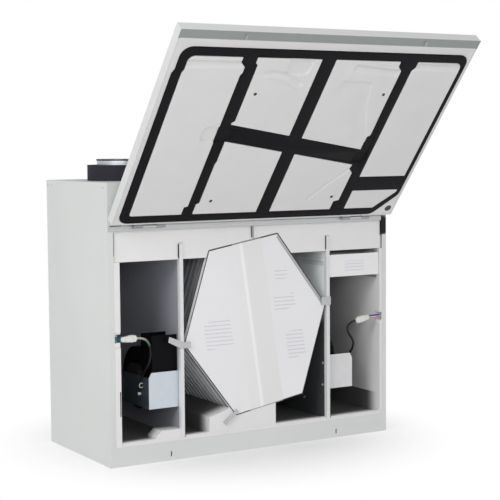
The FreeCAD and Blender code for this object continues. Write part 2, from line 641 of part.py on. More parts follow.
def volute(x, fan_y, length, front, inset):
    """Scroll of four quarter rounds that widen towards the outlet, on the front or the back side."""
    quarters = []
    steps = (("-1", "1", 3, 180), ("-1", "-1", 2, 270), ("1", "-1", 1, 0), ("1", "1", 0, 90))
    for across, up, step, start in steps:
        if not front:
            across = "1" if across == "-1" else "-1"
            start = (90 - start) % 360
        centre_y = "(%s + %s * scroll_growth / 2)" % (fan_y, across)
        centre_z = "(fan_z + %s * scroll_growth / 2)" % up
        radius = "(scroll_start + %d * scroll_growth - (%s))" % (step, inset)
        quarters.append(quarter(radius, x, centre_y, centre_z, length, start))
    return fuse(*quarters)


def fan(name, face, side, fan_y, front):
    """Fan beside a partition: side points away from the partition, front says where its outlet stands."""

    def out(distance):
        return "(%s %s (%s))" % (face, side, distance)

    def slab(d0, d1, y0, y1, z0, z1):
        low, high = (out(d0), out(d1)) if side == "+" else (out(d1), out(d0))
        return block(low, high, y0, y1, z0, z1)

    def disc(radius, d0, d1):
        low = out(d0) if side == "+" else out(d1)
        return rod(radius, low, fan_y, "fan_z", "(%s) - (%s)" % (d1, d0), "X")

    def scroll(inset, d0, d1, top):
        reach = "(scroll_start + 3.5 * scroll_growth)"
        near = "(%s - %s)" % (fan_y, reach) if front else "(%s + %s - outlet_span)" % (fan_y, reach)
        low = out(d0) if side == "+" else out(d1)
        return fuse(volute(low, fan_y, "(%s) - (%s)" % (d1, d0), front, inset),
                    slab(d0, d1, "%s + %s" % (near, inset), "%s + outlet_span - %s" % (near, inset),
                         "fan_z", top))

    node(name + "_fan_scroll", cut(
        scroll("0", "seam", "seam + scroll_width", "outlet_top"),
        scroll("scroll_wall", "0", "seam + scroll_width - scroll_wall", "outlet_top + 1"),
        disc("motor_hole", "scroll_width - 2 * scroll_wall", "scroll_width + 1")))

    wheel = new_body()
    for radius, thickness in (("wheel_radius", "wheel_disc"), ("hub_radius", "hub_length")):
        sketch = new_sketch(wheel, "XY")
        ring(sketch, radius)
        ring(sketch, "shaft_radius + shaft_clearance")
        pad(wheel, sketch, thickness)
    blade_sketch = new_sketch(wheel, "XY", "wheel_disc / 2")
    tip = "sqrt(pow(wheel_radius - 1; 2) - pow(blade_sweep; 2))"
    offset = "0.7 * blade_gauge"
    outline(blade_sketch, [
        ("wheel_inner", "0"), (tip, "blade_sweep"), ("%s + %s" % (tip, offset), "blade_sweep - " + offset),
        ("wheel_inner + " + offset, "-" + offset)])
    blade = pad(wheel, blade_sketch, "wheel_end - wheel_start - wheel_disc / 2")
    blades = wheel.newObject("PartDesign::PolarPattern", "blades")
    blades.Originals = [blade]
    blades.Axis = (blade_sketch, ["N_Axis"])
    blades.Angle = 360
    tie(blades, Occurrences="blade_count")
    wheel.Tip = blades
    place(wheel, out("wheel_end"), fan_y, "fan_z", "Y", "-90" if side == "+" else "90")
    node(name + "_fan_impeller", wheel)

    motor_end = "(bracket_width - bracket_gauge - seam)"
    node(name + "_fan_motor", fuse(
        disc("motor_radius", "wheel_end + motor_gap", motor_end),
        disc("shaft_radius", "wheel_end - hub_length", "wheel_end + motor_gap + 1")))

    plate = bar("XZ", [
        (out("seam"), "bracket_low"), (out("bracket_width"), "bracket_low"),
        (out("bracket_width"), "bracket_high - bracket_cut_z"),
        (out("bracket_width - bracket_cut_x"), "bracket_high"), (out("seam"), "bracket_high")],
        "bracket_gauge")
    place(plate, 0, FRONT + " + bracket_front")
    cheek = slab("bracket_width - bracket_gauge", "bracket_width", FRONT + " + bracket_front",
                 FRONT + " + bracket_reach", "bracket_low", "bracket_high - bracket_cut_z")
    gland = rod("gland_radius", out("bracket_width + gland_radius - 1"), FRONT + " + gland_y",
                "gland_z - gland_length", "gland_length")
    node(name + "_fan_bracket", fuse(plate, cheek, gland))


fan("left", LEFT_WALL, "-", LEFT_FAN_Y, True)
fan("right", RIGHT_FACE, "+", RIGHT_FAN_Y, False)

# Filter -------------------------------------------------------------------------------------------
FILTER_LEFT = "(%s + edge_wrap + filter_play)" % RIGHT_FACE
FILTER_RIGHT = "(width / 2 - right_face - filter_play)"
FILTER_BACK = "(%s + %s)" % (FACE, FILTER_LENGTH)
node("filter_frame", cut(
    block(FILTER_LEFT, FILTER_RIGHT, FACE, FILTER_BACK, "filter_low", "filter_low + filter_height"),
    block(FILTER_LEFT + " + filter_wall", FILTER_RIGHT + " - filter_wall", FACE + " + filter_wall",
          FILTER_BACK + " - filter_wall", "filter_low - 1", "filter_low + filter_height + 1")))
PLEAT_LOW = "(filter_low + filter_wall)"
PLEAT_HIGH = "(filter_low + filter_height - filter_wall - pleat_gauge)"
PLEAT_STEP = "((%s - 2 * filter_wall - 2 * seam) / pleat_count / 2)" % FILTER_LENGTH


def pleat_points():
    """Zigzag of the folded medium: out along its top, back along its underside."""
    count = round(number("pleat_count"))
    line = [("(%s + filter_wall + seam + %d * %s)" % (FACE, step, PLEAT_STEP),
             PLEAT_HIGH if step % 2 else PLEAT_LOW) for step in range(2 * count + 1)]
    return line + [(y, "(%s + pleat_gauge)" % z) for y, z in reversed(line)]


media = bar("YZ", pleat_points(), "%s - %s - 2 * filter_wall - 2 * seam" % (FILTER_RIGHT, FILTER_LEFT))
place(media, FILTER_LEFT + " + filter_wall + seam")
node("filter_media", media)


def rail(wall, side):
    """Angle that carries one long side of the filter."""
    def out(distance):
        return "(%s %s (%s))" % (wall, side, distance)

    def slab(d0, d1, z0, z1):
        low, high = (out(d0), out(d1)) if side == "+" else (out(d1), out(d0))
        return block(low, high, FRONT + " + edge_depth + edge_room", FILTER_BACK, z0, z1)
    return fuse(slab("seam", "rail_width", "filter_low - seam - rail_gauge", "filter_low - seam"),
                slab("seam", "seam + rail_gauge", "filter_low - rail_width", "filter_low - seam"))


node("filter_rails", group(rail(RIGHT_FACE, "+"), rail("(width / 2 - right_face)", "-")))

# Turn clips ---------------------------------------------------------------------------------------
CLIP_BACK = "(-depth / 2 - clip_gap)"
CLIP_FRONT = "(%s - clip_gauge)" % CLIP_BACK
LEFT_PIVOT_X = "(%s + partition / 2)" % LEFT_WALL
LEFT_PIVOT_Z = "(exchanger_z - %s)" % TIP_DROP
RIGHT_PIVOT_X = "(%s + partition / 2)" % RIGHT_WALL
RIGHT_PIVOT_Z = "(exchanger_z + %s + right_pivot_rise)" % TIP_DROP
LOWER_PIVOT_X = "(%s + lower_pivot_x)" % ZONE
LEVERS = {
    "left": (LEFT_PIVOT_X, LEFT_PIVOT_Z, [(-48, 13), (-44, 29), (6, 9), (28, 9), (28, -9), (-6, -9)]),
    "right": (RIGHT_PIVOT_X, RIGHT_PIVOT_Z, [(-26, -13), (8, -13), (8, 13), (-26, 13)]),
    "lower": (LOWER_PIVOT_X, "lower_pivot_z", [(-7, -1), (1, -8), (47, 28), (40, 37)]),
}


def clip(name):
    """Turn clip round its pivot, with a low round head."""
    pivot_x, pivot_z, points = LEVERS[name]
    lever = bar("XZ", points, "clip_gauge")
    place(lever, pivot_x, CLIP_FRONT, pivot_z)
    return fuse(lever, rod("clip_head", pivot_x, CLIP_FRONT + " - clip_head_rise", pivot_z,
                           "clip_head_rise + 1", "Y"))


node("left_exchanger_clip", clip("left"))
node("right_exchanger_clip", clip("right"))
HOOK_X = "(%s + %d)" % (LOWER_PIVOT_X, LEVERS["lower"][2][3][0])
HOOK_Z = "(lower_pivot_z + %d)" % LEVERS["lower"][2][2][1]
node("lower_exchanger_clip", fuse(
    clip("lower"),
    block(HOOK_X + " - clip_gauge", HOOK_X + " + clip_gauge", CLIP_BACK + " - 1",
          FACE + " - strap_gauge - seam", HOOK_Z + " - clip_gauge", HOOK_Z + " + clip_gauge"),
    rod("clip_head", LOWER_PIVOT_X, CLIP_BACK + " - 1", "lower_pivot_z",
        "front_depth + clip_gap + 1 - seam", "Y")))

# Spigots ------------------------------------------------------------------------------------------
TUBE_LOW = "(height - gauge)"
node("duct_spigots", group(*[
    cut(rod("spigot_radius", x, 0, TUBE_LOW, "spigot_height + gauge"),
        rod("spigot_radius - spigot_wall", x, 0, TUBE_LOW + " - 1", "spigot_height + gauge + 2"))
    for x in SPIGOTS]))
node("spigot_collars", group(*[
    cut(rod("collar_radius", x, 0, "height", "collar_height"),
        rod("spigot_radius + seam", x, 0, "height - 1", "collar_height + 2")) for x in SPIGOTS]))

# Door ---------------------------------------------------------------------------------------------
# The door is drawn closed, with its own origin on the hinge axis, and stands open by its Placement.


def at_hinge(thing):
    """Swing a door piece open about the hinge axis."""
    return place(thing, 0, HINGE_Y, "hinge_z", "X", "-open_angle")


DOOR_TOP = "(-door_drop)"
DOOR_LOW = "(-door_drop - door_length)"
pan = cut(
    block(LEFT, RIGHT, "-door_outer", "door_inner", DOOR_LOW, DOOR_TOP),
    block(LEFT + " + gauge", RIGHT + " - gauge", "gauge - door_outer", "door_inner - gauge",
          DOOR_LOW + " + gauge", DOOR_TOP + " - gauge"),
    block(LEFT + " + door_rim", RIGHT + " - door_rim", "0", "door_inner + 1",
          DOOR_LOW + " + far_rim", DOOR_TOP + " - door_rim"),
    *[rod("latch_stud + latch_play", x, "-door_outer - 1", "latch_z - hinge_z", "2 * door_outer + door_inner",
          "Y") for x in LATCHES.values()])
node("door_pan", at_hinge(pan))

LOOP_LEFT = "(%s + loop_left)" % LEFT
LOOP_RIGHT = "(%s - loop_right)" % RIGHT
LEFT_STRIP = "(%s + partition / 2)" % LEFT_WALL
RIGHT_STRIP = "(%s + partition / 2)" % RIGHT_WALL
SLOPE = "tan(cross_tilt)"


def cross_edge(x, side):
    """Height, from the hinge, of one edge of the tilted cross strip at a place across the door."""
    return "(exchanger_z + cross_rise - hinge_z + (%s - %s) * %s %s cross_strip / 2 / cos(cross_tilt))" % (
        x, ZONE, SLOPE, side)


def stepped(plain, moved, low, high):
    """Corners that carry an upright edge out to a step between two distances from the hinge."""
    return [(plain, "(-%s)" % high), (moved, "(-%s)" % high), (moved, "(-%s)" % low), (plain, "(-%s)" % low)]


def cells(inset):
    """Outlines of the seven raised pads, or of the seal's windows, moved in by a distance."""
    left = "(%s + loop_width + %s)" % (LOOP_LEFT, inset)
    right = "(%s - loop_right_width - %s)" % (LOOP_RIGHT, inset)
    near = "(-loop_near - loop_width - %s)" % inset
    far = "(-loop_far + loop_width + %s)" % inset
    strips = []
    for name, middle in (("strip_1", LEFT_STRIP), ("strip_2", MIDDLE), ("strip_3", RIGHT_STRIP)):
        strips.append(("(%s - %s_left - %s)" % (middle, name, inset),
                       "(%s + %s_right + %s)" % (middle, name, inset)))
    (a0, a1), (b0, b1), (c0, c1) = strips
    step_1 = stepped(a1, "(%s + strip_1_step)" % a1, "strip_1_step_low", "strip_1_step_high")
    step_3 = stepped(c0, "(%s + strip_3_step)" % c0, "strip_3_step_low", "strip_3_step_high")
    foot_3 = stepped(c0, "(%s + strip_3_step)" % c0, "strip_3_foot_low", "strip_3_foot_high")
    filter_mid = "(filter_low + filter_height / 2 - hinge_z)"
    low = "(%s - filter_strip / 2 - %s)" % (filter_mid, inset)
    high = "(%s + filter_strip / 2 + %s)" % (filter_mid, inset)
    outer_corner = [(left, far, "pad_round")]
    cut_corner = [(right, near + " - corner_cut_inner"), (right + " - corner_cut_inner", near)]
    return [
        outer_corner + [(a0, far), (a0, near), (left, near)],
        [(a1, far), (b0, far), (b0, cross_edge(b0, "-") + " - %s" % inset),
         (a1, cross_edge(a1, "-") + " - %s" % inset)] + step_1[::-1],
        [(a1, cross_edge(a1, "+") + " + %s" % inset), (b0, cross_edge(b0, "+") + " + %s" % inset),
         (b0, near), (a1, near)],
        [(b1, far), (c0, far)] + step_3 + [(c0, cross_edge(c0, "-") + " - %s" % inset),
                                            (b1, cross_edge(b1, "-") + " - %s" % inset)],
        [(b1, cross_edge(b1, "+") + " + %s" % inset), (c0, cross_edge(c0, "+") + " + %s" % inset)]
        + foot_3 + [(c0, near), (b1, near)],
        [(c1, far), (right, far, "pad_round"), (right, low), (c1, low)],
        [(c1, high), (right, high)] + cut_corner + [(c1, near)]]


def clip_room():
    """Spaces in front of the three clips, in the door's frame, for cutting out of seal and foam."""
    rooms = []
    for pivot_x, pivot_z, points in LEVERS.values():
        across = [x for x, z in points]
        along = [z for x, z in points]
        rooms.append(block("%s + %d - clip_play" % (pivot_x, min(across)),
                           "%s + %d + clip_play" % (pivot_x, max(across)),
                           "hinge_forward - clip_gap - clip_gauge - clip_play", "hinge_forward + door_outer",
                           "%s + %d - clip_play - hinge_z" % (pivot_z, min(along)),
                           "%s + %d + clip_play - hinge_z" % (pivot_z, max(along))))
    return rooms


foam = new_body()
bed = new_sketch(foam, "XZ", "door_outer - gauge - seam")
outline(bed, [(LEFT + " + gauge + seam", DOOR_LOW + " + gauge + seam"),
              (RIGHT + " - gauge - seam", DOOR_LOW + " + gauge + seam"),
              (RIGHT + " - gauge - seam", DOOR_TOP + " - gauge - seam"),
              (LEFT + " + gauge + seam", DOOR_TOP + " - gauge - seam")])
pad(foam, bed, "door_outer - gauge - seam + channel_floor", True)
rim = [(LEFT + " + door_rim + seam", DOOR_LOW + " + far_rim + seam"),
       (RIGHT + " - door_rim - seam", DOOR_LOW + " + far_rim + seam"),
       (RIGHT + " - door_rim - seam", DOOR_TOP + " - door_rim - seam"),
       (LEFT + " + door_rim + seam", DOOR_TOP + " - door_rim - seam")]


def loop_outline(inset):
    """Outer edge of the seal's loop: three round corners and one cut beside the magnet."""
    left = "(%s + %s)" % (LOOP_LEFT, inset)
    right = "(%s - %s)" % (LOOP_RIGHT, inset)
    near = "(-loop_near - %s)" % inset
    far = "(-loop_far + %s)" % inset
    return [(left, far, "round_far_left"), (right, far, "round_far_right"), (right, near + " - corner_cut_z"),
            (right + " - corner_cut_x", near), (left, near, "round_near")]


shoulder = new_sketch(foam, "XZ", "-channel_floor")
outline(shoulder, rim)
outline(shoulder, loop_outline("-pad_gap"))
pad(foam, shoulder, "door_inner - channel_floor", True)
pads = new_sketch(foam, "XZ", "-channel_floor")
for cell in cells("pad_gap"):
    outline(pads, cell)
pad(foam, pads, "pad_top - channel_floor", True)
foam_cuts = clip_room()
MAGNET_X = "(%s - magnet_inset)" % RIGHT
foam_cuts.append(rod("magnet_radius + seam", MAGNET_X, "door_inner - magnet_height - seam", "-magnet_s",
                     "magnet_height + door_inner", "Y"))
for x in LATCHES.values():
    foam_cuts.append(rod("latch_stud + latch_play", x, "-door_outer", "latch_z - hinge_z",
                         "2 * door_outer + door_inner", "Y"))
node("door_insulation", at_hinge(cut(foam, *foam_cuts)))

seal = new_body()
seal_sketch = new_sketch(seal, "XZ", "-channel_floor")
outline(seal_sketch, loop_outline("0"))
for cell in cells("0"):
    outline(seal_sketch, cell)
pad(seal, seal_sketch, "gasket_top - channel_floor", True)
magnet = rod("magnet_radius", MAGNET_X, "door_inner - magnet_height", "-magnet_s", "magnet_height", "Y")
node("door_gasket", at_hinge(group(cut(seal, *clip_room()), magnet)))

leaves = []
for x in HINGES:
    for side in ("-", "+"):
        inner_edge = "(%s %s (knuckle_width / 2 + knuckle_gap))" % (x, side)
        low = "(%s - leaf_width)" % inner_edge if side == "-" else inner_edge
        leaf = fuse(rod("knuckle_radius", low, 0, 0, "leaf_width", "X"),
                    block(low, low + " + leaf_width", "-web_gauge / 2", "web_gauge / 2",
                          DOOR_TOP + " + seam", 0),
                    block(low, low + " + leaf_width", "-leaf_back", "leaf_front", DOOR_TOP,
                          DOOR_TOP + " + gauge"))
        leaves.append(cut(leaf, rod("pin_radius + pin_clearance", low + " - 1", 0, 0, "leaf_width + 2", "X")))
node("door_hinge_leaves", at_hinge(group(*leaves)))

for side, x in LATCHES.items():
    knob = fuse(
        block(x + " - latch_knob / 2", x + " + latch_knob / 2", "-door_outer - seam - latch_knob_height",
              "-door_outer - seam", "latch_z - hinge_z - latch_knob_width / 2",
              "latch_z - hinge_z + latch_knob_width / 2"),
        rod("latch_stud", x, "-door_outer - seam - 1", "latch_z - hinge_z",
            "door_outer + seam + 1 + hinge_forward + latch_reach", "Y"),
        block(x + " - latch_wing_width / 2", x + " + latch_wing_width / 2",
              "hinge_forward + latch_reach - latch_wing_gauge", "hinge_forward + latch_reach",
              "latch_z - hinge_z - latch_wing / 2", "latch_z - hinge_z + latch_wing / 2"))
    node("door_latch_" + side, at_hinge(knob))

# Switch, control box, wiring, drain ---------------------------------------------------------------
node("door_switch", fuse(
    block(SWITCH_LEFT, INSIDE_RIGHT, FRONT + " - switch_plate", FRONT, "switch_low", "switch_high"),
    block(SWITCH_LEFT + " + 1", RIGHT + " - gauge - 2", FRONT + " - 1", FRONT + " + switch_body",
          "switch_low + 2", "rail_low - 1")))
node("control_box", block(CONTROL_LEFT, CONTROL_RIGHT, FACE + " + seam", FACE + " + seam + control_depth",
                          CONTROL_LOW, CONTROL_HIGH))


def plug(x, z, tilt):
    """Two-part wire connector with a stepped body."""
    shell = fuse(block(0, "plug_length * 0.6", 0, "plug_thick", "-plug_height / 2", "plug_height / 2"),
                 block("plug_length * 0.55", "plug_length", 2, "plug_thick - 2", "2 - plug_height / 2",
                       "plug_height / 2 - 2"))
    return place(shell, x, FRONT + " + plug_y", z, "Y", tilt)


def wires(x, z, tilt, start, length):
    """Sheath of a connector's wires, in the connector's own frame."""
    sheath = rod("wire_radius", start, "plug_thick / 2", 0, length, "X")
    return place(group(sheath), x, FRONT + " + plug_y", z, "Y", tilt)


LEFT_PLUG_X = "(%s + left_plug_inset)" % LEFT
RIGHT_PLUG_X = "(%s - right_plug_inset)" % RIGHT
RIGHT_PLUG_Z = "(wire_notch_z - right_plug_drop)"
node("left_fan_connector", plug(LEFT_PLUG_X, "wire_notch_z", "0"))
node("right_fan_connector", plug(RIGHT_PLUG_X, RIGHT_PLUG_Z, "-right_plug_tilt"))
node("chassis_wires", group(
    wires(LEFT_PLUG_X, "wire_notch_z", "0", "-wire_run * 0.8", "wire_run * 0.8"),
    wires(RIGHT_PLUG_X, RIGHT_PLUG_Z, "-right_plug_tilt", "plug_length", "wire_run")))


def cord(label, points):
    """Round cord: straight runs joined by the largest tangent arcs that their lengths allow."""
    corners = [FreeCAD.Vector(*point) for point in points]
    radius = number("lead_radius")
    pieces = []
    length = 0
    start = corners[0]
    for index in range(1, len(corners) - 1):
        before, here, after = corners[index - 1:index + 2]
        to_before = (before - here).normalize()
        to_after = (after - here).normalize()
        reach = 0.45 * min((before - here).Length, (after - here).Length)
        turn = math.pi - to_before.getAngle(to_after)
        bend = reach / math.tan(turn / 2)
        first = here + to_before * reach
        inward = (to_before + to_after).normalize()
        centre = here + inward * (reach ** 2 + bend ** 2) ** 0.5
        axis = to_after.cross(to_before).normalize()
        pieces.append(Part.makeCylinder(radius, (first - start).Length, start, first - start))
        disc = Part.Face(Part.Wire(Part.makeCircle(radius, first, first - start)))
        pieces.append(disc.revolve(centre, axis, math.degrees(turn)))
        print("%s bend radius %.1f mm" % (label, bend))
        length += (first - start).Length + bend * turn
        start = here + to_after * reach
    last = corners[-1] - start
    pieces.append(Part.makeCylinder(radius, last.Length, start, last))
    length += last.Length
    shape = pieces[0].multiFuse(pieces[1:]).Solids[0]
    feature = doc.addObject("Part::Feature", "cord")
    feature.Shape = shape
    ratio = shape.Volume / (length * math.pi * radius ** 2)
    print("%s length %.1f mm, volume ratio %.4f" % (label, length, ratio))
    return node(label, feature)


cord("left_fan_lead", [
    (-404.0, -212.0, 377.0), (-380.0, -212.0, 377.0), (-362.0, -213.0, 352.0), (-369.0, -213.0, 300.0),
    (-369.0, -151.0, 240.0), (-369.0, -151.0, 204.0)])
cord("right_fan_lead", [
    (386.0, -212.0, 372.0), (362.0, -212.0, 367.77), (349.0, -213.0, 343.0), (378.0, -214.0, 296.0),
    (381.0, -151.0, 236.0), (381.0, -151.0, 204.0)])

DRAIN_START = "(%s - drain_socket)" % INSIDE_BACK
DRAIN_SHOULDER = "(drain_socket + 2 * gauge + 2 * seam)"
DRAIN_END = "(%s + drain_stop_gauge + drain_reach)" % DRAIN_SHOULDER
drain = turned([
    ("drain_bore", "0"), ("drain_socket_radius", "0"), ("drain_socket_radius", DRAIN_SHOULDER),
    ("drain_stop", DRAIN_SHOULDER), ("drain_stop", DRAIN_SHOULDER + " + drain_stop_gauge"),
    ("drain_radius", DRAIN_SHOULDER + " + drain_stop_gauge"), ("drain_radius", DRAIN_END),
    ("drain_bore", DRAIN_END)])
node("condensate_drain", place(drain, DRAIN_X, DRAIN_START, "drain_z", "X", "-90"))

# Check and write ----------------------------------------------------------------------------------
doc.recompute()
for thing in doc.Objects:
    if "Invalid" in thing.State or "Error" in thing.State:
        raise RuntimeError("%s (%s) failed: %s" % (thing.Label, thing.Name, thing.State))
for label, thing in nodes.items():
    if thing.Shape.isNull() or not thing.Shape.isValid():
        raise RuntimeError(label + " has no valid shape")
os.makedirs("parts", exist_ok=True)
for label, thing in nodes.items():
    thing.Shape.exportStep("parts/%s.step" % label)
print(len(nodes), "nodes written")
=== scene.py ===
"""Looks of a heat recovery unit with a lift-up door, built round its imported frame."""
import math

import bmesh
import bpy
import numpy as np
from mathutils import Matrix, Vector


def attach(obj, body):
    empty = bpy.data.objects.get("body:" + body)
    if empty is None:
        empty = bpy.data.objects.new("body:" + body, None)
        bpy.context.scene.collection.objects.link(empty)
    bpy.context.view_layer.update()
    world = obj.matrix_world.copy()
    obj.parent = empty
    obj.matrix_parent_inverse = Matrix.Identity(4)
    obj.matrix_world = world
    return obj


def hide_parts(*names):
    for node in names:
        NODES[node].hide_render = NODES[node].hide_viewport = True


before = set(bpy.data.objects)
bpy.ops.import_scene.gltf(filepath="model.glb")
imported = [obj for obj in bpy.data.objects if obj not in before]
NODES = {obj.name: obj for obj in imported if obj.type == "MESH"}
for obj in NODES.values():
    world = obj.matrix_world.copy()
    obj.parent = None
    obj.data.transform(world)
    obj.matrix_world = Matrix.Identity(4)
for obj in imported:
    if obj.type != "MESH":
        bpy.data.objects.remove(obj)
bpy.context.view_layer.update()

bl_info = {
    "name": "Heat recovery unit looks",
    "version": (1, 0, 0),
    "blender": (4, 5, 0),
    "location": "View3D > Sidebar > Heat recovery unit",
    "description": "Finishes, wiring, labels and stage of a heat recovery unit",
    "category": "Object",
}

MM = 0.001
SHARP_ANGLE = math.radians(35.0)
SIDES = ("left", "right")
HALF_WIDTH = 500.0

# The open door: its hinge line, and the ways out along the door and in from its face, in metres.
HINGE = np.array((0.0, -0.235, 0.710))
OPEN_ANGLE = math.radians(140.0)
OUT = np.array((0.0, -math.sin(OPEN_ANGLE), -math.cos(OPEN_ANGLE)))
INWARD = np.array((0.0, math.cos(OPEN_ANGLE), -math.sin(OPEN_ANGLE)))

# The exchanger's front plate in millimetres: its middle as (x, z), its tilt, and the depth that it
# shares with the filter's front.
EXCHANGER_MIDDLE = np.array((6.0, 391.0))
EXCHANGER_TILT = math.radians(10.0)
FRONT_PLANE = -221.0

# The door's pads and seal: the windows' corner radius, the pads' rim and grid step in millimetres,
# and the seal's rolled edge in metres.
WINDOW_ROUND = 3.0
PAD_RIM = 3.2
PAD_STEP = 3.0
GASKET_ROLL = 0.001

# Levels of the door's foam in millimetres above the plane through the hinge, then the most that
# relief rises over a pad and the depth of a hollow.
CHANNEL = 3.75
SHOULDER = 8.0
GASKET_TOP = 9.7
PAD_TOP = 11.0
BED_BOTTOM = -19.5
RELIEF_MOST = 2.0
HOLLOW_DEPTH = 8.6


def cross_strip(x, side):
    """Distance from the hinge of one edge of the tilted strip, at a place from the left side."""
    tilt = math.radians(11.1)
    return 311.0 - (x - 506.0) * math.tan(tilt) + side * 29.0 / math.cos(tilt)


# Outlines on the door in millimetres, as (from the left side, out from the hinge, corner radius).
# Each window also names the four corners between which its pad's surface is blended.
LOOP = [(18, 22, 28), (916, 22, 30), (988, 104, 30), (988, 651, 34), (24, 651, 48), (24, 576),
        (18, 564)]
WINDOWS = {
    "left": ([(45, 49, 8), (217, 49), (217, 80), (229, 82), (229, 562), (234, 570), (234, 590),
              (217, 606), (217, 624), (50, 624, 34), (50, 578), (45, 566)], (0, 1, 8, 9)),
    "upper_left": ([(261, cross_strip(261, 1)), (474, cross_strip(474, 1)), (474, 624), (262, 624),
                    (262, 604), (270, 597), (270, 402), (261, 396)], (0, 1, 2, 3)),
    "lower_left": ([(252, 49), (474, 49), (474, cross_strip(474, -1)), (264, cross_strip(264, -1)),
                    (264, 252), (261, 246), (261, 93), (252, 90)], (0, 1, 2, 3)),
    "upper_right": ([(520, cross_strip(520, 1)), (753, cross_strip(753, 1)), (753, 346), (763, 351),
                     (763, 590), (746, 606), (746, 624), (520, 624)], (0, 1, 6, 7)),
    "lower_right": ([(520, 49), (745, 49), (745, 84), (763, 88), (763, 200), (746, 217),
                     (750, cross_strip(750, -1)), (520, cross_strip(520, -1))], (0, 1, 6, 7)),
    "right": ([(798, 181.5), (974, 181.5), (974, 624, 22), (808, 624), (808, 604), (798, 592)],
              (0, 1, 2, 3)),
    "small": ([(798, 49), (908, 49, 12), (974, 115, 12), (974, 125.5), (798, 125.5)], (0, 1, 3, 4)),
}

# Hollows in the door's foam over the turn clips: the place of the middle, then the half sizes.
CLIP_DENTS = [(231.0, 354.0, 45.0, 24.0), (762.0, 264.0, 22.0, 19.0), (408.0, 602.0, 34.0, 30.0)]

MAGNET_PLACE = (975.0, 43.5)
PLUG_PLACES = [(299, 500), (297, 102), (737, 505), (727, 104)]


# Settings --------------------


def colour(name, description, default):
    """Property that holds a colour."""
    return bpy.props.FloatVectorProperty(name=name, description=description, default=default,
                                         subtype="COLOR", size=3, min=0.0, max=1.0)


def number(name, description, default, **options):
    """Property that holds a number."""
    return bpy.props.FloatProperty(name=name, description=description, default=default, **options)


def angle(name, description, degrees):
    """Property that holds an angle."""
    return number(name, description, math.radians(degrees), subtype="ANGLE")


class CasingSettings(bpy.types.PropertyGroup):
    """Finishes of the sheet-metal casing."""
    paint: colour("Paint", "Powder coat of the casing", (0.66, 0.675, 0.665))
    zinc: colour("Zinc", "Zinc-coated sheet", (0.72, 0.75, 0.79))
    # painted shade: the left partition's face is dark violet grey for the shade on it
    partition: colour("Partition", "Sheet facing of the partitions", (0.31, 0.32, 0.36))


class FoamSettings(bpy.types.PropertyGroup):
    """Finishes of the foam mouldings and the rubber seal."""
    foam: colour("Foam", "Light grey bead foam", (0.76, 0.75, 0.75))
    rubber: colour("Rubber", "Black cellular rubber", (0.0055, 0.005, 0.0065))


class StageSettings(bpy.types.PropertyGroup):
    """Camera and light."""
    lens: number("Lens", "Camera's focal length in millimetres", 99.02, min=10.0, max=500.0)
    yaw: angle("Yaw", "Camera's turn to the right of the back", 30.858)
    pitch: angle("Pitch", "Camera's tilt below the horizon", 4.392)
    roll: angle("Roll", "Camera's turn about its line of sight", -0.464)
    stand: bpy.props.FloatVectorProperty(name="Stand", description="Place of the camera", size=3,
                                         default=(-2.1871, -3.8538, 0.9471), subtype="TRANSLATION")
    world: number("World", "Strength of the light all round", 0.50, min=0.0, max=3.0)


# Shapes --------------------


def on_door(x, s, lift):
    """World points from millimetres across from the left side, out from the hinge and inwards."""
    x, s, lift = np.broadcast_arrays(np.asarray(x, float), s, lift)
    across = (x - HALF_WIDTH)[..., None] * np.array((1.0, 0.0, 0.0))
    return HINGE + MM * (across + s[..., None] * OUT + lift[..., None] * INWARD)


def rectangle(left, low, right, high):
    """Corners of an upright rectangle, anticlockwise."""
    return [(left, low), (right, low), (right, high), (left, high)]


def grid_faces(rows, columns, wrap_rows=False, wrap_columns=False):
    """Quads of a grid of points stored row by row."""
    index = np.pad(np.arange(rows * columns).reshape(rows, columns),
                   ((0, int(wrap_rows)), (0, int(wrap_columns))), mode="wrap")
    corners = [index[:-1, :-1], index[:-1, 1:], index[1:, 1:], index[1:, :-1]]
    return np.stack(corners, -1).reshape(-1, 4).tolist()


def tube_faces(rows, columns):
    """Quads of a closed tube of points stored ring by ring, and a cap at each end."""
    last = (rows - 1) * columns
    return grid_faces(rows, columns, wrap_columns=True) + [
        list(range(columns)), list(range(last, last + columns))]


def new_object(name, data):
    """Object that shows some data, linked to the scene."""
    obj = bpy.data.objects.new(name, data)
    bpy.context.scene.collection.objects.link(obj)
    return obj


def new_mesh(name, points, faces):
    """Mesh from lists of points and faces."""
    mesh = bpy.data.meshes.new(name)
    mesh.from_pydata(points, [], faces)
    return mesh


def piece(name, body, material, shells):
    """One mesh of closed shells, each (points, faces), with faces outwards, riding on a body."""
    points = []
    faces = []
    for shell_points, shell_faces in shells:
        faces += [[index + len(points) for index in face] for face in shell_faces]
        points += shell_points.tolist()
    return dress(name, new_mesh(name, points, faces), body, material)


def dress(name, mesh, body, material):
    """Merge a mesh's doubles, turn its faces outwards and put it on a body."""
    work = bmesh.new()
    work.from_mesh(mesh)
    bmesh.ops.remove_doubles(work, verts=work.verts, dist=1e-6)
    bmesh.ops.recalc_face_normals(work, faces=work.faces)
    work.to_mesh(mesh)
    work.free()
    mesh.shade_smooth()
    mesh.set_sharp_from_angle(angle=SHARP_ANGLE)
    mesh.materials.append(material)
    obj = new_object(name, mesh)
    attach(obj, body)
    return obj


def swept(path, section, sizes, up=(0.0, 0.0, 1.0)):
    """Closed tube: a unit section (n, 2) carried along a path, scaled by sizes (width, height)."""
    path = np.asarray(path, float)
    sizes = np.broadcast_to(np.asarray(sizes, float), (len(path), 2))
    along = np.gradient(path, axis=0)
    along /= np.linalg.norm(along, axis=1, keepdims=True)
    across = np.cross(along, up)
    across /= np.linalg.norm(across, axis=1, keepdims=True)
    high = np.cross(across, along)
    points = (path[:, None] + across[:, None] * section[None, :, :1] * sizes[:, None, :1]
              + high[:, None] * section[None, :, 1:] * sizes[:, None, 1:])
    return points.reshape(-1, 3), tube_faces(*points.shape[:2])


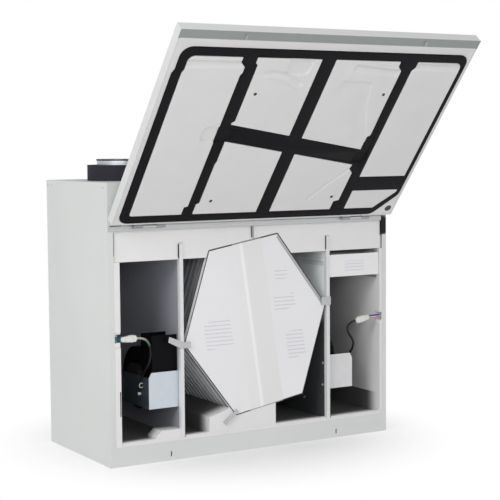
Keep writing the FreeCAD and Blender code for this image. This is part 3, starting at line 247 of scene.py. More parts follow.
def turns(count):
    """Even angles once round."""
    return np.linspace(0.0, 2 * math.pi, count, endpoint=False)


def squircle(count, power):
    """Unit outline |x|^power + |y|^power = 1; power 2 is a circle and more is squarer."""
    circle = np.stack([np.cos(turns(count)), np.sin(turns(count))], -1)
    return np.sign(circle) * np.abs(circle) ** (2 / power)


def lathe(profile, base, axis, count):
    """Turned shell: (radius, height) points spun about an axis from a base point."""
    axis = np.asarray(axis, float) / np.linalg.norm(axis)
    side = np.cross(axis, (0.31, 0.52, 0.79))
    side /= np.linalg.norm(side)
    other = np.cross(axis, side)
    turn = turns(count)[None, :, None]
    radius, height = (np.asarray(profile, float).T * MM)[:, :, None, None]
    points = base + height * axis + radius * (np.cos(turn) * side + np.sin(turn) * other)
    return points.reshape(-1, 3), tube_faces(len(profile), count)


def rounded(corners, steps=6):
    """Outline through (x, y, radius) corners with an arc at each, and each arc's middle index."""
    corners = [tuple(corner) if len(corner) == 3 else (*corner, WINDOW_ROUND) for corner in corners]
    outline = []
    middles = []
    for index, (x, y, radius) in enumerate(corners):
        here = np.array((x, y))
        before = np.array(corners[index - 1][:2]) - here
        after = np.array(corners[(index + 1) % len(corners)][:2]) - here
        lengths = np.linalg.norm(before), np.linalg.norm(after)
        before, after = before / lengths[0], after / lengths[1]
        half = math.acos(np.clip(before @ after, -1, 1)) / 2
        run = min(radius / math.tan(half), 0.45 * lengths[0], 0.45 * lengths[1])
        radius = run * math.tan(half)
        middle = before + after
        centre = here + middle / np.linalg.norm(middle) * radius / math.sin(half)
        first, last = here + before * run - centre, here + after * run - centre
        share = np.linspace(0.0, 1.0, steps + 1)[:, None]
        sweep = math.pi - 2 * half
        arc = (np.sin((1 - share) * sweep) * first + np.sin(share * sweep) * last) / math.sin(sweep)
        middles.append(len(outline) + steps // 2)
        outline.extend((centre + arc).tolist())
    return np.array(outline), middles


def resample(line, share):
    """Points at shares of the length of a line."""
    steps = np.concatenate([[0.0], np.cumsum(np.linalg.norm(np.diff(line, axis=0), axis=1))])
    return np.stack([np.interp(share * steps[-1], steps, line[:, axis]) for axis in (0, 1)], -1)


def inset(outline, distance):
    """Outline moved inwards along its normals; it runs anticlockwise."""
    along = np.roll(outline, -1, 0) - np.roll(outline, 1, 0)
    normal = np.stack([-along[:, 1], along[:, 0]], -1)
    return outline + distance * normal / np.linalg.norm(normal, axis=1, keepdims=True)


def smooth(value):
    """Ease from 0 to 1."""
    value = np.clip(value, 0.0, 1.0)
    return value * value * (3 - 2 * value)


def away_from(x, s, line):
    """Distance to a line of points, and on which side of its nearest run."""
    best = np.full(np.shape(x), 1e9)
    side = np.zeros(np.shape(x))
    for (x0, s0), (x1, s1) in zip(line, line[1:]):
        run_x, run_s = x1 - x0, s1 - s0
        share = np.clip(((x - x0) * run_x + (s - s0) * run_s) / (run_x ** 2 + run_s ** 2), 0, 1)
        distance = np.hypot(x - x0 - share * run_x, s - s0 - share * run_s)
        turn = np.sign(run_x * (s - s0) - run_s * (x - x0))
        side = np.where(distance < best, turn, side)
        best = np.minimum(best, distance)
    return best, side


# Materials --------------------


def shade(tint, factor):
    """A colour made darker or lighter."""
    return tuple(min(1.0, part * factor) for part in tint)


class Nodes:
    """The node tree of a material or world, with short ways to add linked nodes to it."""

    def __init__(self, owner):
        owner.use_nodes = True
        self.owner = owner
        self.tree = owner.node_tree
        self.tree.nodes.clear()

    def give(self, node, inputs):
        """Set each input, by name or number, to a value, or link an output to it."""
        for key, value in inputs.items():
            if isinstance(value, bpy.types.NodeSocket):
                self.tree.links.new(value, node.inputs[key])
            else:
                node.inputs[key].default_value = value

    def add(self, kind, inputs=(), output=0, **options):
        """Add a node with its options and inputs, and hand back one of its outputs."""
        node = self.tree.nodes.new("ShaderNode" + kind)
        for name, value in options.items():
            setattr(node, name, value)
        self.give(node, dict(inputs))
        return node.outputs[output] if len(node.outputs) else None

    def maths(self, operation, first, second):
        """Two values joined by an operation."""
        return self.add("Math", {0: first, 1: second}, operation=operation)

    def spread(self, source, low, high, start=0.0, end=1.0, kind="LINEAR"):
        """Map the range from start to end to the range from low to high."""
        return self.add("MapRange", {"Value": source, "From Min": start, "From Max": end,
                                     "To Min": low, "To Max": high}, interpolation_type=kind)

    def ease(self, source, start, end):
        """Ease from 0 to 1 between two values."""
        return self.spread(source, 0.0, 1.0, start, end, "SMOOTHSTEP")


class Finish(Nodes):
    """The nodes of one of the object's materials, on its object coordinates."""

    def __init__(self, name):
        super().__init__(bpy.data.materials.new(name))
        shading = self.add("BsdfPrincipled")
        self.shader = shading.node
        self.add("OutputMaterial", {"Surface": shading})
        self.place = self.add("TexCoord", output="Object")

    def noise(self, scale, detail=3.0, roughness=0.5):
        """Cloudy value from 0 to 1."""
        return self.add("TexNoise", {"Scale": scale, "Detail": detail, "Roughness": roughness,
                                     "Vector": self.place})

    def ramp(self, source, *stops):
        """Colour ramp through (place, colour) stops."""
        colours = self.add("ValToRGB", {"Fac": source})
        elements = colours.node.color_ramp.elements
        while len(elements) < len(stops):
            elements.new(0.5)
        for element, (at, tint) in zip(elements, stops):
            element.position = at
            element.color = (*tint, 1.0)
        return colours

    def tones(self, source, tint, *stops):
        """Ramp of one colour, made darker or lighter at (place, factor) stops."""
        return self.ramp(source, *((at, shade(tint, factor)) for at, factor in stops))

    def blend(self, share, first, second):
        """Blend from a linked colour to a plain one."""
        return self.add("Mix", {"Factor": share, "A": first, "B": (*second, 1.0)}, "Result",
                        data_type="RGBA")

    def axis(self, name, vector):
        """X, Y or Z of a vector."""
        return self.add("SeparateXYZ", {0: vector}, name)

    def along(self, vector, direction):
        """How far a vector reaches in a direction."""
        return self.add("VectorMath", {0: vector, 1: direction}, "Value", operation="DOT_PRODUCT")

    def done(self, tint, roughness, height, strength, distance, gloss=0.5):
        """Set the shader's colour, roughness, gloss and bump, and hand back the material."""
        normal = self.add("Bump", {"Strength": strength, "Distance": distance, "Height": height})
        self.give(self.shader, {"Base Color": tint, "Roughness": roughness,
                                "Specular IOR Level": gloss, "Normal": normal})
        return self.owner


def powder_coat(name, paint, roughness=0.42):
    """Powder coat: even colour with a faint orange-peel grain."""
    look = Finish(name)
    tint = look.tones(look.noise(2.4, 2.0), paint, (0.3, 0.97), (0.7, 1.02))
    grain = look.noise(900.0, 2.0)
    rough = look.spread(grain, roughness - 0.04, roughness + 0.06)
    return look.done(tint, rough, grain, 0.12, 0.0002)


def door_coat(paint):
    """Powder coat of the door, dark grey on the inner face of its far flange.

    The grey lies past two planes: one near the door's far edge and one just inside its face.
    """
    look = Finish("door_paint")
    grain = look.noise(900.0, 2.0)
    coat = look.tones(grain, paint, (0.3, 0.98), (0.7, 1.02))
    offset = look.add("VectorMath", {0: look.place, 1: HINGE}, operation="SUBTRACT")
    past = [look.maths("GREATER_THAN", look.along(offset, direction), start)
            for direction, start in ((OUT, 0.6765), (INWARD, 0.0070))]
    tint = look.blend(look.maths("MULTIPLY", *past), coat, (0.27, 0.295, 0.285))
    return look.done(tint, 0.42, grain, 0.12, 0.0002)


def sheet_with_painted_light():
    """Zinc facing with painted light beside and above the exchanger's middle and painted shade
    lower down.
    """
    look = Finish("bright_facing")
    height = look.ease(look.axis("Z", look.place), 0.36, 0.46)
    # painted light high up and painted shade low down, by height
    tint = look.ramp(height, (0.0, (0.055, 0.060, 0.064)), (1.0, (0.90, 0.95, 0.94)))
    grain = look.noise(60.0)
    return look.done(tint, look.spread(grain, 0.36, 0.46), grain, 0.05, 0.0003)


def bracket_sheet(name, zinc):
    """Zinc-coated bracket: bright front, and painted shade in dark teal on every face that faces
    another way.
    """
    look = Finish(name)
    normal = look.add("NewGeometry", output="True Normal")
    # painted shade: every face that does not face the front is dark
    shaded_side = look.maths("GREATER_THAN", look.axis("Y", normal), -0.5)
    grain = look.noise(40.0)
    bare = look.tones(grain, zinc, (0.3, 0.97), (0.7, 1.02))
    return look.done(look.blend(shaded_side, bare, (0.035, 0.045, 0.055)), 0.4, grain, 0.05, 0.0003)


def tape_film():
    """Broad pale tape with a painted highlight along a fold running down it, and faint ripples.

    The bands follow the distance across the tape, which leans as the exchanger does.
    """
    look = Finish("tape_film")
    across = look.spread(look.along(look.place, (0.9898, 0.0, 0.1427)), 0.0, 1.0, 0.0, 0.28)
    pale, fold_highlight = (0.785, 0.78, 0.785), (0.86, 0.86, 0.87)
    # the fold's band is a painted highlight
    tint = look.ramp(across, (0.0, pale), (0.13, pale), (0.135, fold_highlight), (0.165, fold_highlight),
                     (0.18, (0.755, 0.745, 0.745)), (1.0, (0.785, 0.775, 0.775)))
    return look.done(tint, 0.3, look.noise(30.0, 2.0), 0.15, 0.001)


def bead_foam(name, foam, deep=None, painted_shade=1.0):
    """Moulded bead foam: soft cells, darkened by painted shade over the depths deep = (front,
    back).
    """
    look = Finish(name)
    cells = look.add("TexVoronoi", {"Scale": 260.0, "Vector": look.place}, "Distance")
    tint = look.tones(look.noise(14.0, 4.0), foam, (0.32, 0.985), (0.68, 1.01))
    if deep:
        # painted shade: darker the deeper it lies inside the cabinet
        tint = look.blend(look.ease(look.axis("Y", look.place), *deep), tint, shade(foam, painted_shade))
    return look.done(tint, 0.72, cells, 0.10, 0.0006, gloss=0.35)


def cellular_rubber(name, rubber):
    """Closed-cell rubber: black, matt and finely pitted."""
    look = Finish(name)
    pits = look.noise(420.0, 4.0, 0.65)
    return look.done(look.tones(pits, rubber, (0.35, 0.8), (0.7, 1.7)), 0.62, pits, 0.25, 0.0005,
                     gloss=0.12)


def zinc_sheet(name, zinc, roughness=0.42):
    """Zinc-coated steel sheet with its faint spangle."""
    look = Finish(name)
    spangle = look.add("TexVoronoi", {"Scale": 110.0, "Vector": look.place}, "Color")
    red = look.add("SeparateColor", {"Color": spangle}, "Red")
    green = red.node.outputs["Green"]
    look.give(look.shader, {"Base Color": look.tones(red, zinc, (0.0, 0.98), (1.0, 1.015)),
                            "Metallic": 0.85,
                            "Roughness": look.spread(green, roughness - 0.02, roughness + 0.03)})
    return look.owner


def moulding(name, plastic, roughness=0.4, gloss=0.5):
    """Moulded plastic with a fine grain."""
    look = Finish(name)
    grain = look.noise(700.0)
    return look.done(look.tones(grain, plastic, (0.3, 0.94), (0.7, 1.06)), roughness, grain, 0.1,
                     0.0003, gloss)


def plates_with_painted_shade():
    """Exchanger plates with painted shade on their upper-left quarter."""
    look = Finish("exchanger_plates")
    # painted shade: the upper-left quarter is darker
    shaded_quarter = look.ease(look.along(look.place, (-0.6, 0.0, 1.0)), 0.44, 0.56)
    tint = look.ramp(shaded_quarter, (0.0, (0.62, 0.63, 0.65)), (1.0, (0.26, 0.27, 0.28)))
    return look.done(tint, 0.5, look.noise(700.0), 0.1, 0.0003)


def fleece(name, tint):
    """Filter fleece: matted fibres."""
    look = Finish(name)
    fibres = look.noise(350.0, 6.0, 0.7)
    return look.done(look.tones(fibres, tint, (0.3, 0.86), (0.7, 1.03)), 0.9, fibres, 0.5, 0.001)


def ruled_paper(name, spacing):
    """Plain paper with faint ruled lines and nothing written on it."""
    look = Finish(name)
    waves = look.add("TexWave", {"Scale": math.pi / 10.0 / spacing, "Vector": look.place}, "Fac",
                     bands_direction="Z")
    tint = look.ramp(waves, (0.04, (0.60, 0.61, 0.64)), (0.26, (0.79, 0.79, 0.82)))
    return look.done(tint, 0.5, look.noise(800.0, 2.0), 0.1, 0.0002)


def finish_nodes(material, *names):
    """Give CAD nodes a material."""
    for name in names:
        for slot in NODES[name].material_slots:
            slot.material = material


def both(*names):
    """Names of the left and right nodes of each pair."""
    return [side + "_" + name for side in SIDES for name in names]


# Wiring --------------------


# Fan leads from their plugs down to the fans, and the plugs' starts and directions, in millimetres.
LEADS = {
    "left": [(-404, -212, 377), (-380, -212, 377), (-360, -213, 354), (-360, -213, 303),
             (-366, -156, 248), (-369, -151, 204)],
    "right": [(386, -212, 372), (362, -212, 367.8), (349, -213, 343), (386, -214, 298),
              (386, -156, 240), (381, -151, 204)],
}
LEAD_RADIUS = 0.0035
PLUGS = {"left": ((-404, -212, 377), (-1.0, 0.0, 0.0)),
         "right": ((386, -212, 372), (0.9848, 0.0, 0.1736))}

# Colours up each lead as (lowest, highest, stops): bare strands near the plug, then a black sheath.
BLACK = (0.006, 0.006, 0.008)
SHEATHS = {
    "left": (0.290, 0.380, [(0.0, BLACK), (0.66, BLACK), (0.70, (0.03, 0.11, 0.07)),
                            (0.86, (0.10, 0.20, 0.13)), (1.0, (0.45, 0.44, 0.36))]),
    "right": (0.300, 0.374, [(0.0, BLACK), (0.9, (0.01, 0.012, 0.013)), (1.0, (0.03, 0.04, 0.04))]),
}

# Wires behind each plug: their colours, the places where they meet the lining in millimetres, how
# far each leans forwards or back, and their radius. They start at the plug's far end.
STRANDS = {
    "left": ((0.004, 0.16, 0.22), (0.006, 0.24, 0.30), (0.006, 0.20, 0.32), (0.010, 0.08, 0.16)),
    "right": ((0.70, 0.02, 0.03), (0.80, 0.80, 0.82), (0.02, 0.05, 0.40), (0.02, 0.03, 0.24)),
}
STRAND_ENDS = {"left": (-491, -212, 384), "right": (481, -212, 383)}
STRAND_LEANS = (0.9, -1.1, 1.2, -0.8)
STRAND_RADIUS = 0.0012
PLUG_LENGTH = 53.0


def lead_sheath(side):
    """Lead cover, coloured by height: bare strands next to the plug, then a woven black sheath."""
    look = Finish(side + "_lead_sheath")
    low, high, stops = SHEATHS[side]
    tint = look.ramp(look.spread(look.axis("Z", look.place), 0.0, 1.0, low, high), *stops)
    return look.done(tint, 0.45, look.noise(500.0, 2.0), 0.2, 0.0003, gloss=0.25)


def spline_curve(name, points, radius):
    """Round NURBS cord through its control points, in millimetres."""
    data = bpy.data.curves.new(name, "CURVE")
    data.dimensions = "3D"
    data.bevel_depth = radius
    data.bevel_resolution = 4
    data.resolution_u = 16
    data.use_fill_caps = True
    spline = data.splines.new("NURBS")
    spline.points.add(len(points) - 1)
    for point, (x, y, z) in zip(spline.points, points):
        point.co = (x * MM, y * MM, z * MM, 1.0)
    spline.order_u = 3
    spline.use_endpoint_u = True
    return new_object(name, data)


def connector(side):
    """Two-part white plug with a latch: rounded sections of (run, half width, half height)."""
    start, direction = (np.array(part) for part in PLUGS[side])
    start = start * MM
    stations = MM * np.array([
        (0.0, 3.9, 4.2), (4.0, 4.2, 4.8), (4.2, 6.0, 9.4), (16.0, 6.2, 9.6), (16.2, 6.8, 11.0),
        (20.0, 6.8, 11.0), (20.2, 6.0, 9.6), (36.0, 6.0, 9.6), (36.2, 4.6, 7.4), (38.0, 4.6, 7.4),
        (38.2, 5.4, 8.4), (50.0, 5.2, 8.0), (50.2, 4.0, 6.0), (53.6, 3.7, 5.4)])
    shell = swept(start + stations[:, :1] * direction, squircle(24, 5.0), stations[:, 1:])
    high = np.cross(direction, (0.0, -1.0, 0.0))
    high *= np.sign(high[2])
    latch = MM * np.array([(8.0, 8.8), (11.0, 10.6), (24.0, 10.6), (30.0, 9.2)])
    latch = start + latch[:, :1] * direction + latch[:, 1:] * high
    return [shell, swept(latch, squircle(16, 4.0), np.array((2.6, 0.8)) * MM)]


def cable_tie():
    """Flat strap bent round the left lead, open at the front."""
    turn = np.linspace(math.radians(40), math.radians(320), 28)
    ring = np.stack([-0.3685 + 0.0062 * np.cos(turn), np.full(28, -0.1655),
                     0.226 + 0.0070 * np.sin(turn)], -1)
    return swept(ring, squircle(12, 4.0), (0.0013, 0.0013), (0.0, 1.0, 0.0))


class HRU_OT_wiring(bpy.types.Operator):
    """Run the fan leads, their plugs and the coloured wires behind them"""
    bl_idname = "hru.wiring"
    bl_label = "Leads and plugs"

    def execute(self, context):
        nylon = moulding("connector_nylon", (0.70, 0.70, 0.67), 0.35)
        for side in SIDES:
            plug = piece(side + "_plug", "cabinet", nylon, connector(side))
            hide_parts(side + "_fan_connector")
            lead = spline_curve(side + "_lead", LEADS[side], LEAD_RADIUS)
            lead.data.materials.append(lead_sheath(side))
            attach(lead, "cabinet")
            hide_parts(side + "_fan_lead")
            start, direction = PLUGS[side]
            inner = np.array(start) + PLUG_LENGTH * np.array(direction)
            outer = np.array(STRAND_ENDS[side])
            for index, (tint, lean) in enumerate(zip(STRANDS[side], STRAND_LEANS)):
                name = "%s_wire_%d" % (side, index + 1)
                sag = np.array((0.0, lean, 2.6 * (index - 1.5)))
                points = [inner + share * (outer - inner) + sag * fan
                          for share, fan in ((0.0, 0.75), (0.3, 1.3), (0.7, 1.0), (1.0, 0.9))]
                strand = spline_curve(name, points[::-1], STRAND_RADIUS)
                strand.data.materials.append(moulding(name, tint, 0.35, gloss=0.3))
                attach(strand, "cabinet")
                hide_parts("chassis_wires")
                [float(part) * MM for part in points[-1]]
        piece("lead_tie", "cabinet", nylon, [cable_tie()])
        return {"FINISHED"}


# Fittings --------------------


# Screw heads as (place in millimetres, way it faces, radius).
SCREWS = [((265.9, y, z), (-1, 0, 0), 4.0)
          for y, z in ((-200.9, 242.9), (-199.2, 172.0), (-91.9, 115.2))]
SCREWS += [((side * HALF_WIDTH, y, z), (side, 0, 0), 2.6)
           for side in (-1, 1) for y, z in ((-199.6, 825.0), (181.0, 823.0), (213.0, 823.0))]
SCREWS.append(((-236.0, -221.1, 342.5), (0, -1, 0), 3.4))

# Upright edge clips as (x, lowest, highest, depth, half width), in millimetres.
EDGE_CLIPS = [(-267.4, 610, 652, -223.2, 1.4), (263.6, 612, 655, -223.2, 1.4),
              (-252.2, 66, 84, -223.2, 1.4), (278.2, 66, 84, -223.2, 1.4),
              (-465.8, 150, 224, -223.95, 2.6), (-481.7, 625, 694, -223.95, 1.0),
              (481.7, 606, 655, -223.95, 1.0), (-11.8, 662, 701, -223.95, 1.2)]

# Across and up the exchanger's tilted front from its middle, in millimetres: the labels as (left,
# low, right, high), the taped flange's corners and the hexagon's tips. The black lines on its
# edges, a painted shadow along the plate's edges, are (depth, share of the hexagon's size, half
# width, half height).
EXCHANGER_LABELS = [(-185, -40, -92, 46), (72, 20, 150, 66), (96, -140, 160, -52),
                    (92, 116, 138, 152)]
FLANGE = [(123.0, 257.0), (119.0, 248.5), (247.5, 0.0), (256.5, 0.0)]
TIPS = np.array([(-261.0, 0.0), (-125.0, -262.0), (125.0, -262.0), (261.0, 0.0), (125.0, 262.0),
                 (-125.0, 262.0)])
EDGE_SHADOW_LINES = [(-220.9, 0.994, 1.5, 0.9), (-205.2, 0.999, 2.2, 1.6)]

# Middles of the duct spigots across the cabinet, in metres.
SPIGOT_MIDDLES = (-0.339, -0.113, 0.113, 0.339)


def screw(place, axis, radius):
    """Domed screw head with a shallow round recess."""
    profile = [(0.05, -0.4), (radius, -0.4), (radius, 0.7), (0.85 * radius, 1.5),
               (0.5 * radius, 1.9), (0.42 * radius, 1.2), (0.05, 1.1)]
    return lathe(profile, np.array(place) * MM, axis, 18)


def on_exchanger(points):
    """Places (x, z) of points given across and up the exchanger's tilted front, from its middle."""
    points = np.asarray(points, float)
    across = np.array((math.cos(EXCHANGER_TILT), math.sin(EXCHANGER_TILT)))
    upright = np.array((-math.sin(EXCHANGER_TILT), math.cos(EXCHANGER_TILT)))
    return EXCHANGER_MIDDLE + (points[:, :1] * across + points[:, 1:] * upright)


def sticker(corners, gap=0.0):
    """Thin quad over the front plane, (x, z) millimetres, raised by a third of one past a gap."""
    corners = np.array(corners, float)
    front = np.stack([corners[:, 0], np.full(4, FRONT_PLANE - gap - 0.3), corners[:, 1]], -1)
    back = front + (0.0, 0.35, 0.0)
    return np.concatenate([front, back]) * MM, tube_faces(2, 4)


def edge_clips():
    """Rounded flat bars up the edge channels, and one in the gap at the hinge's left end."""
    for x, low, high, depth, half in EDGE_CLIPS:
        run = np.array([(x, depth, z) for z in np.linspace(low, high, 6)]) * MM
        yield swept(run, squircle(16, 4.0), (half * MM, 0.0011), (0.0, 1.0, 0.0))
    run = np.array([(x, -240.9, 714.4) for x in np.linspace(-499, -464, 4)]) * MM
    yield swept(run, squircle(16, 4.0), (0.0011, 0.0013))


def lip_seal(middle):
    """Round bead carried round a spigot's mouth (a torus)."""
    radius, bead, height = 0.0806, 0.0022, 0.9032
    around, turn = turns(64)[None, :], turns(8)[:, None]
    out = radius + bead * np.cos(turn)
    ring = np.stack([middle + out * np.cos(around), out * np.sin(around),
                     height + bead * np.sin(turn) + 0 * around], -1)
    return ring.reshape(-1, 3), grid_faces(8, 64, wrap_rows=True, wrap_columns=True)


def edge_shadow_lines():
    """Thin black lines along the exchanger's six edges, front and behind: painted shadow along the
    plate's edges.
    """
    for depth, size, wide, thick in EDGE_SHADOW_LINES:
        corners = on_exchanger(size * TIPS)
        for ends in zip(corners, np.roll(corners, -1, 0)):
            run = resample(np.stack(ends), np.linspace(0.0, 1.0, 8))
            line = np.stack([run[:, 0], np.full(8, depth), run[:, 1]], -1) * MM
            yield swept(line, squircle(8, 2.0), (wide * MM, thick * MM), (0.0, 1.0, 0.0))


def notch_block(x, half, low, high):
    """Foam block over or under the wires' notch: a box with softened ends."""
    level, rise = (low + high) / 2, (high - low) / 2
    line = np.array([(x, y, level) for y in (-224.7, -223.7, -200.0, -199.4)]) * MM
    ends = (half - 1.0, rise - 0.8), (half - 0.5, rise - 0.5)
    sizes = np.array([ends[0], (half, rise), (half, rise), ends[1]]) * MM
    return swept(line, squircle(32, 12.0), sizes)


class HRU_OT_fittings(bpy.types.Operator):
    """Add screws, clips, lip seals, black lines of painted shadow on the exchanger's edges, notch
    blocks and plain ruled labels
    """
    bl_idname = "hru.fittings"
    bl_label = "Screws, clips and labels"

    def execute(self, context):
        steel = zinc_sheet("screw_steel", (0.62, 0.64, 0.66), 0.3)
        piece("casing_screws", "cabinet", steel, [screw(*head) for head in SCREWS])
        rubber = moulding("end_clip_plastic", BLACK, gloss=0.2)
        piece("edge_end_clips", "cabinet", rubber, edge_clips())
        piece("spigot_lip_seals", "cabinet", rubber,
              [lip_seal(middle) for middle in SPIGOT_MIDDLES])
        piece("exchanger_labels", "cabinet", ruled_paper("ruled_paper", 0.012),
              [sticker(on_exchanger(rectangle(*label)), 0.3) for label in EXCHANGER_LABELS])
        grey = moulding("flange_film", (0.40, 0.41, 0.42), 0.45)
        piece("exchanger_flange_tape", "cabinet", grey,
              [sticker(on_exchanger(FLANGE), 0.25)])
        # black lines along the exchanger's edges: painted shadow
        piece("exchanger_edge_shadow_lines", "cabinet", rubber, edge_shadow_lines())
        foam = bead_foam("notch_bead_foam", context.scene.hru_foam.foam)
        piece("wire_notch_blocks", "cabinet", foam,
              [notch_block(x, half, low, high) for x, half in ((-480.8, 17.2), (486.2, 11.9))
               for low, high in ((355.4, 370.0), (394.6, 398.6))])
        piece("filter_label", "filter", ruled_paper("filter_paper", 0.010),
              [sticker(rectangle(338, 536, 414, 570))])
        return {"FINISHED"}


# Casing and foam --------------------


class HRU_OT_casing(bpy.types.Operator):
    """Finish the casing, hinges and brackets"""
    bl_idname = "hru.casing"
    bl_label = "Casing finishes"

    def execute(self, context):
        settings = context.scene.hru_casing
        finish_nodes(powder_coat("casing_paint", settings.paint), *both("side_panel"),
                     "upper_fascia", "top_panel", "back_panel", "base_panel")
        finish_nodes(door_coat(settings.paint), "door_pan")
        finish_nodes(zinc_sheet("zinc_sheet", settings.zinc), "filter_rails", "duct_spigots")
        finish_nodes(moulding("white_angle", (0.72, 0.74, 0.74)), "partition_angle")
        finish_nodes(zinc_sheet("hinge_steel", (0.34, 0.35, 0.37), 0.45), "hinge_pins",
                     "door_hinge_leaves", "duct_divider_strip")
        finish_nodes(zinc_sheet("rail_zinc", (0.54, 0.55, 0.56), 0.45), "hinge_rail")
        finish_nodes(bracket_sheet("left_bracket_sheet", (0.58, 0.63, 0.69)), "left_fan_bracket")
        finish_nodes(bracket_sheet("right_bracket_sheet", (0.67, 0.67, 0.68)), "right_fan_bracket")
        # painted shade: dark violet grey on the left partition's face
        finish_nodes(powder_coat("partition_facing", settings.partition, 0.35), "left_partition")
        # right partition: painted light above and painted shade below
        finish_nodes(sheet_with_painted_light(), "right_partition")
        finish_nodes(moulding("white_channel", (0.70, 0.70, 0.71), 0.35), *both("partition_edge"))
        return {"FINISHED"}


class HRU_OT_foam(bpy.types.Operator):
    """Finish the foam mouldings and seals"""
    bl_idname = "hru.foam"
    bl_label = "Foam and seals"

    def execute(self, context):
        settings = context.scene.hru_foam
        finish_nodes(bead_foam("bead_foam", settings.foam), "top_block")
        # painted shade: the linings darken towards the back
        finish_nodes(bead_foam("lining_bead_foam", settings.foam, (-0.222, 0.20), 0.30),
                     *both("lining"), "back_lining")
        # painted shade: the floor and support blocks darken towards the back
        finish_nodes(bead_foam("floor_bead_foam", settings.foam, (-0.214, -0.150), 0.14),
                     "floor_block", "support_block")
        finish_nodes(cellular_rubber("cellular_rubber", settings.rubber), "exchanger_seals")
        # a lighter violet copy of the black rubber: painted sheen on the collars
        finish_nodes(cellular_rubber("collar_rubber", (0.024, 0.022, 0.030)), "spigot_collars")
        return {"FINISHED"}


# Door --------------------


def dent(x, s):
    """Depth of the soft hollows that keep clear of the turn clips."""
    depth = np.zeros(np.shape(x))
    for centre_x, centre_s, half_x, half_s in CLIP_DENTS:
        out = (np.abs(x - centre_x) / half_x) ** 4 + (np.abs(s - centre_s) / half_s) ** 4
        depth = np.maximum(depth, HOLLOW_DEPTH * smooth((1.9 - out) / 0.7))
    return depth


def relief(x, s):
    """Height of the moulded rolls, ridge, step and crease over the flat pads.

    A roll is a dip and then a swell past a line across a pad. The ridge, the valley beside it and
    the crease are bell curves of the distance to a line, and the step eases across a line.
    """
    height = np.zeros(np.shape(x))
    for low, high, line, lean in ((40, 225, 584.0, 0.0), (800, 980, 592.0, 0.0),
                                  (590, 757, 584.0, -0.1)):
        inside = smooth((x - low) / 12.0) * smooth((high - x) / 8.0)
        past = s - line - lean * (x - low)
        height += inside * (7.4 * smooth((past - 17.0) / 12.0) - 6.2 * smooth(past / 12.0))
    ridge = away_from(x, s, ((300, 560), (345, 558), (385, 548), (425, 524)))[0]
    valley = away_from(x, s, ((306, 572), (352, 570), (394, 559), (432, 536)))[0]
    height += smooth((x - 290) / 40.0) * (2.2 * np.exp(-(ridge / 6.0) ** 2)
                                          - 5.0 * np.exp(-(valley / 7.0) ** 2))
    gap, side = away_from(x, s, ((560, 551), (676, 545), (693, 478), (742, 349)))
    step = 4.6 * (smooth(0.5 + 0.5 * side * gap / 3.5) - 0.55)
    height += (step * (gap < 60) * smooth((x - 560) / 30.0) * (s > 300) * (x < 790)
               * smooth((60 - gap) / 40.0))
    gap, side = away_from(x, s, ((742, 214), (696, 165), (642, 98)))
    height -= 3.4 * np.exp(-(gap / 3.6) ** 2)
    return np.minimum(height, RELIEF_MOST)


def pad_shell(corners, ends):
    """Raised pad: its outline is cut into four sides, blended between them (a Coons surface).

    The rim is a quarter round over an upright wall, and relief and hollows are added inside it.
    """
    outline, middles = rounded(corners)
    outline = inset(outline, 1.0)
    marks = [middles[index] for index in ends]
    loop = np.roll(outline, -marks[0], 0)
    marks = [(mark - marks[0]) % len(loop) for mark in marks] + [len(loop)]
    loop = np.concatenate([loop, loop[:1]])
    sides = [loop[first:last + 1] for first, last in zip(marks, marks[1:])]
    low, right, high, left = sides[0], sides[1], sides[2][::-1], sides[3][::-1]
    rim = PAD_RIM * (1 - np.cos(np.linspace(0.0, math.pi / 2, 6)))
    drop = PAD_RIM * (1 - np.sin(np.linspace(0.0, math.pi / 2, 6)))
    shares = []
    lifts = []
    for side in (low, left):
        span = np.linalg.norm(np.diff(side, axis=0), axis=1).sum()
        inner = np.linspace(PAD_RIM, span - PAD_RIM, max(4, int(span / PAD_STEP)))[1:-1]
        shares.append(np.concatenate([[0.0], rim, inner, span - rim[::-1], [span]]) / span)
        lifts.append(np.concatenate([[CHANNEL - PAD_TOP], -drop, inner * 0.0, -drop[::-1],
                                     [CHANNEL - PAD_TOP]]))
    u, v = shares[0][None, :, None], shares[1][:, None, None]
    low, high = (resample(side, shares[0])[None] for side in (low, high))
    left, right = (resample(side, shares[1])[:, None] for side in (left, right))
    plane = (1 - v) * low + v * high + (1 - u) * left + u * right
    plane -= ((1 - u) * (1 - v) * low[:, :1] + u * (1 - v) * low[:, -1:]
              + (1 - u) * v * high[:, :1] + u * v * high[:, -1:])
    x, s = plane[..., 0], plane[..., 1]
    lift = np.minimum(lifts[0][None, :], lifts[1][:, None])
    raised = relief(x, s) * smooth((lift + 2.0) / 2.0)
    top = np.maximum(PAD_TOP + lift + raised - dent(x, s), CHANNEL + 0.25)
    top[[0, -1]] = CHANNEL
    top[:, [0, -1]] = CHANNEL
    index = np.arange(top.size).reshape(top.shape)
    edge = np.concatenate([index[0], index[1:, -1], index[-1, -2::-1], index[-2:0:-1, 0]])
    return on_door(x, s, top).reshape(-1, 3), grid_faces(*top.shape) + [edge.tolist()]


def bed_shell():
    """Foam bed: shoulder ring round the loop's channel, its floor and its hidden back."""
    outline = rounded(LOOP, 12)[0]
    closed = np.concatenate([outline, outline[:1]])
    outline = resample(closed, np.linspace(0.0, 1.0, 1201)[:-1])
    low, high = np.array((5.4, 20.4)), np.array((994.6, 677.6))
    centre = (low + high) / 2
    reach = outline - centre
    scale = np.min((high - low) / 2 / np.maximum(np.abs(reach), 1e-6), axis=1)
    edge = centre + reach * scale[:, None]
    for corner in rectangle(*low, *high):
        edge[np.argmin(np.linalg.norm(edge - corner, axis=1))] = corner
    rings = [(inset(outline, -out), lift)
             for out, lift in ((1.0, CHANNEL), (1.0, 6.2), (1.5, 7.4), (2.8, SHOULDER))]
    rings += [(edge, SHOULDER), (edge, BED_BOTTOM)]
    points = np.concatenate([on_door(ring[:, 0], ring[:, 1], lift) for ring, lift in rings])
    return points, tube_faces(len(rings), len(outline))


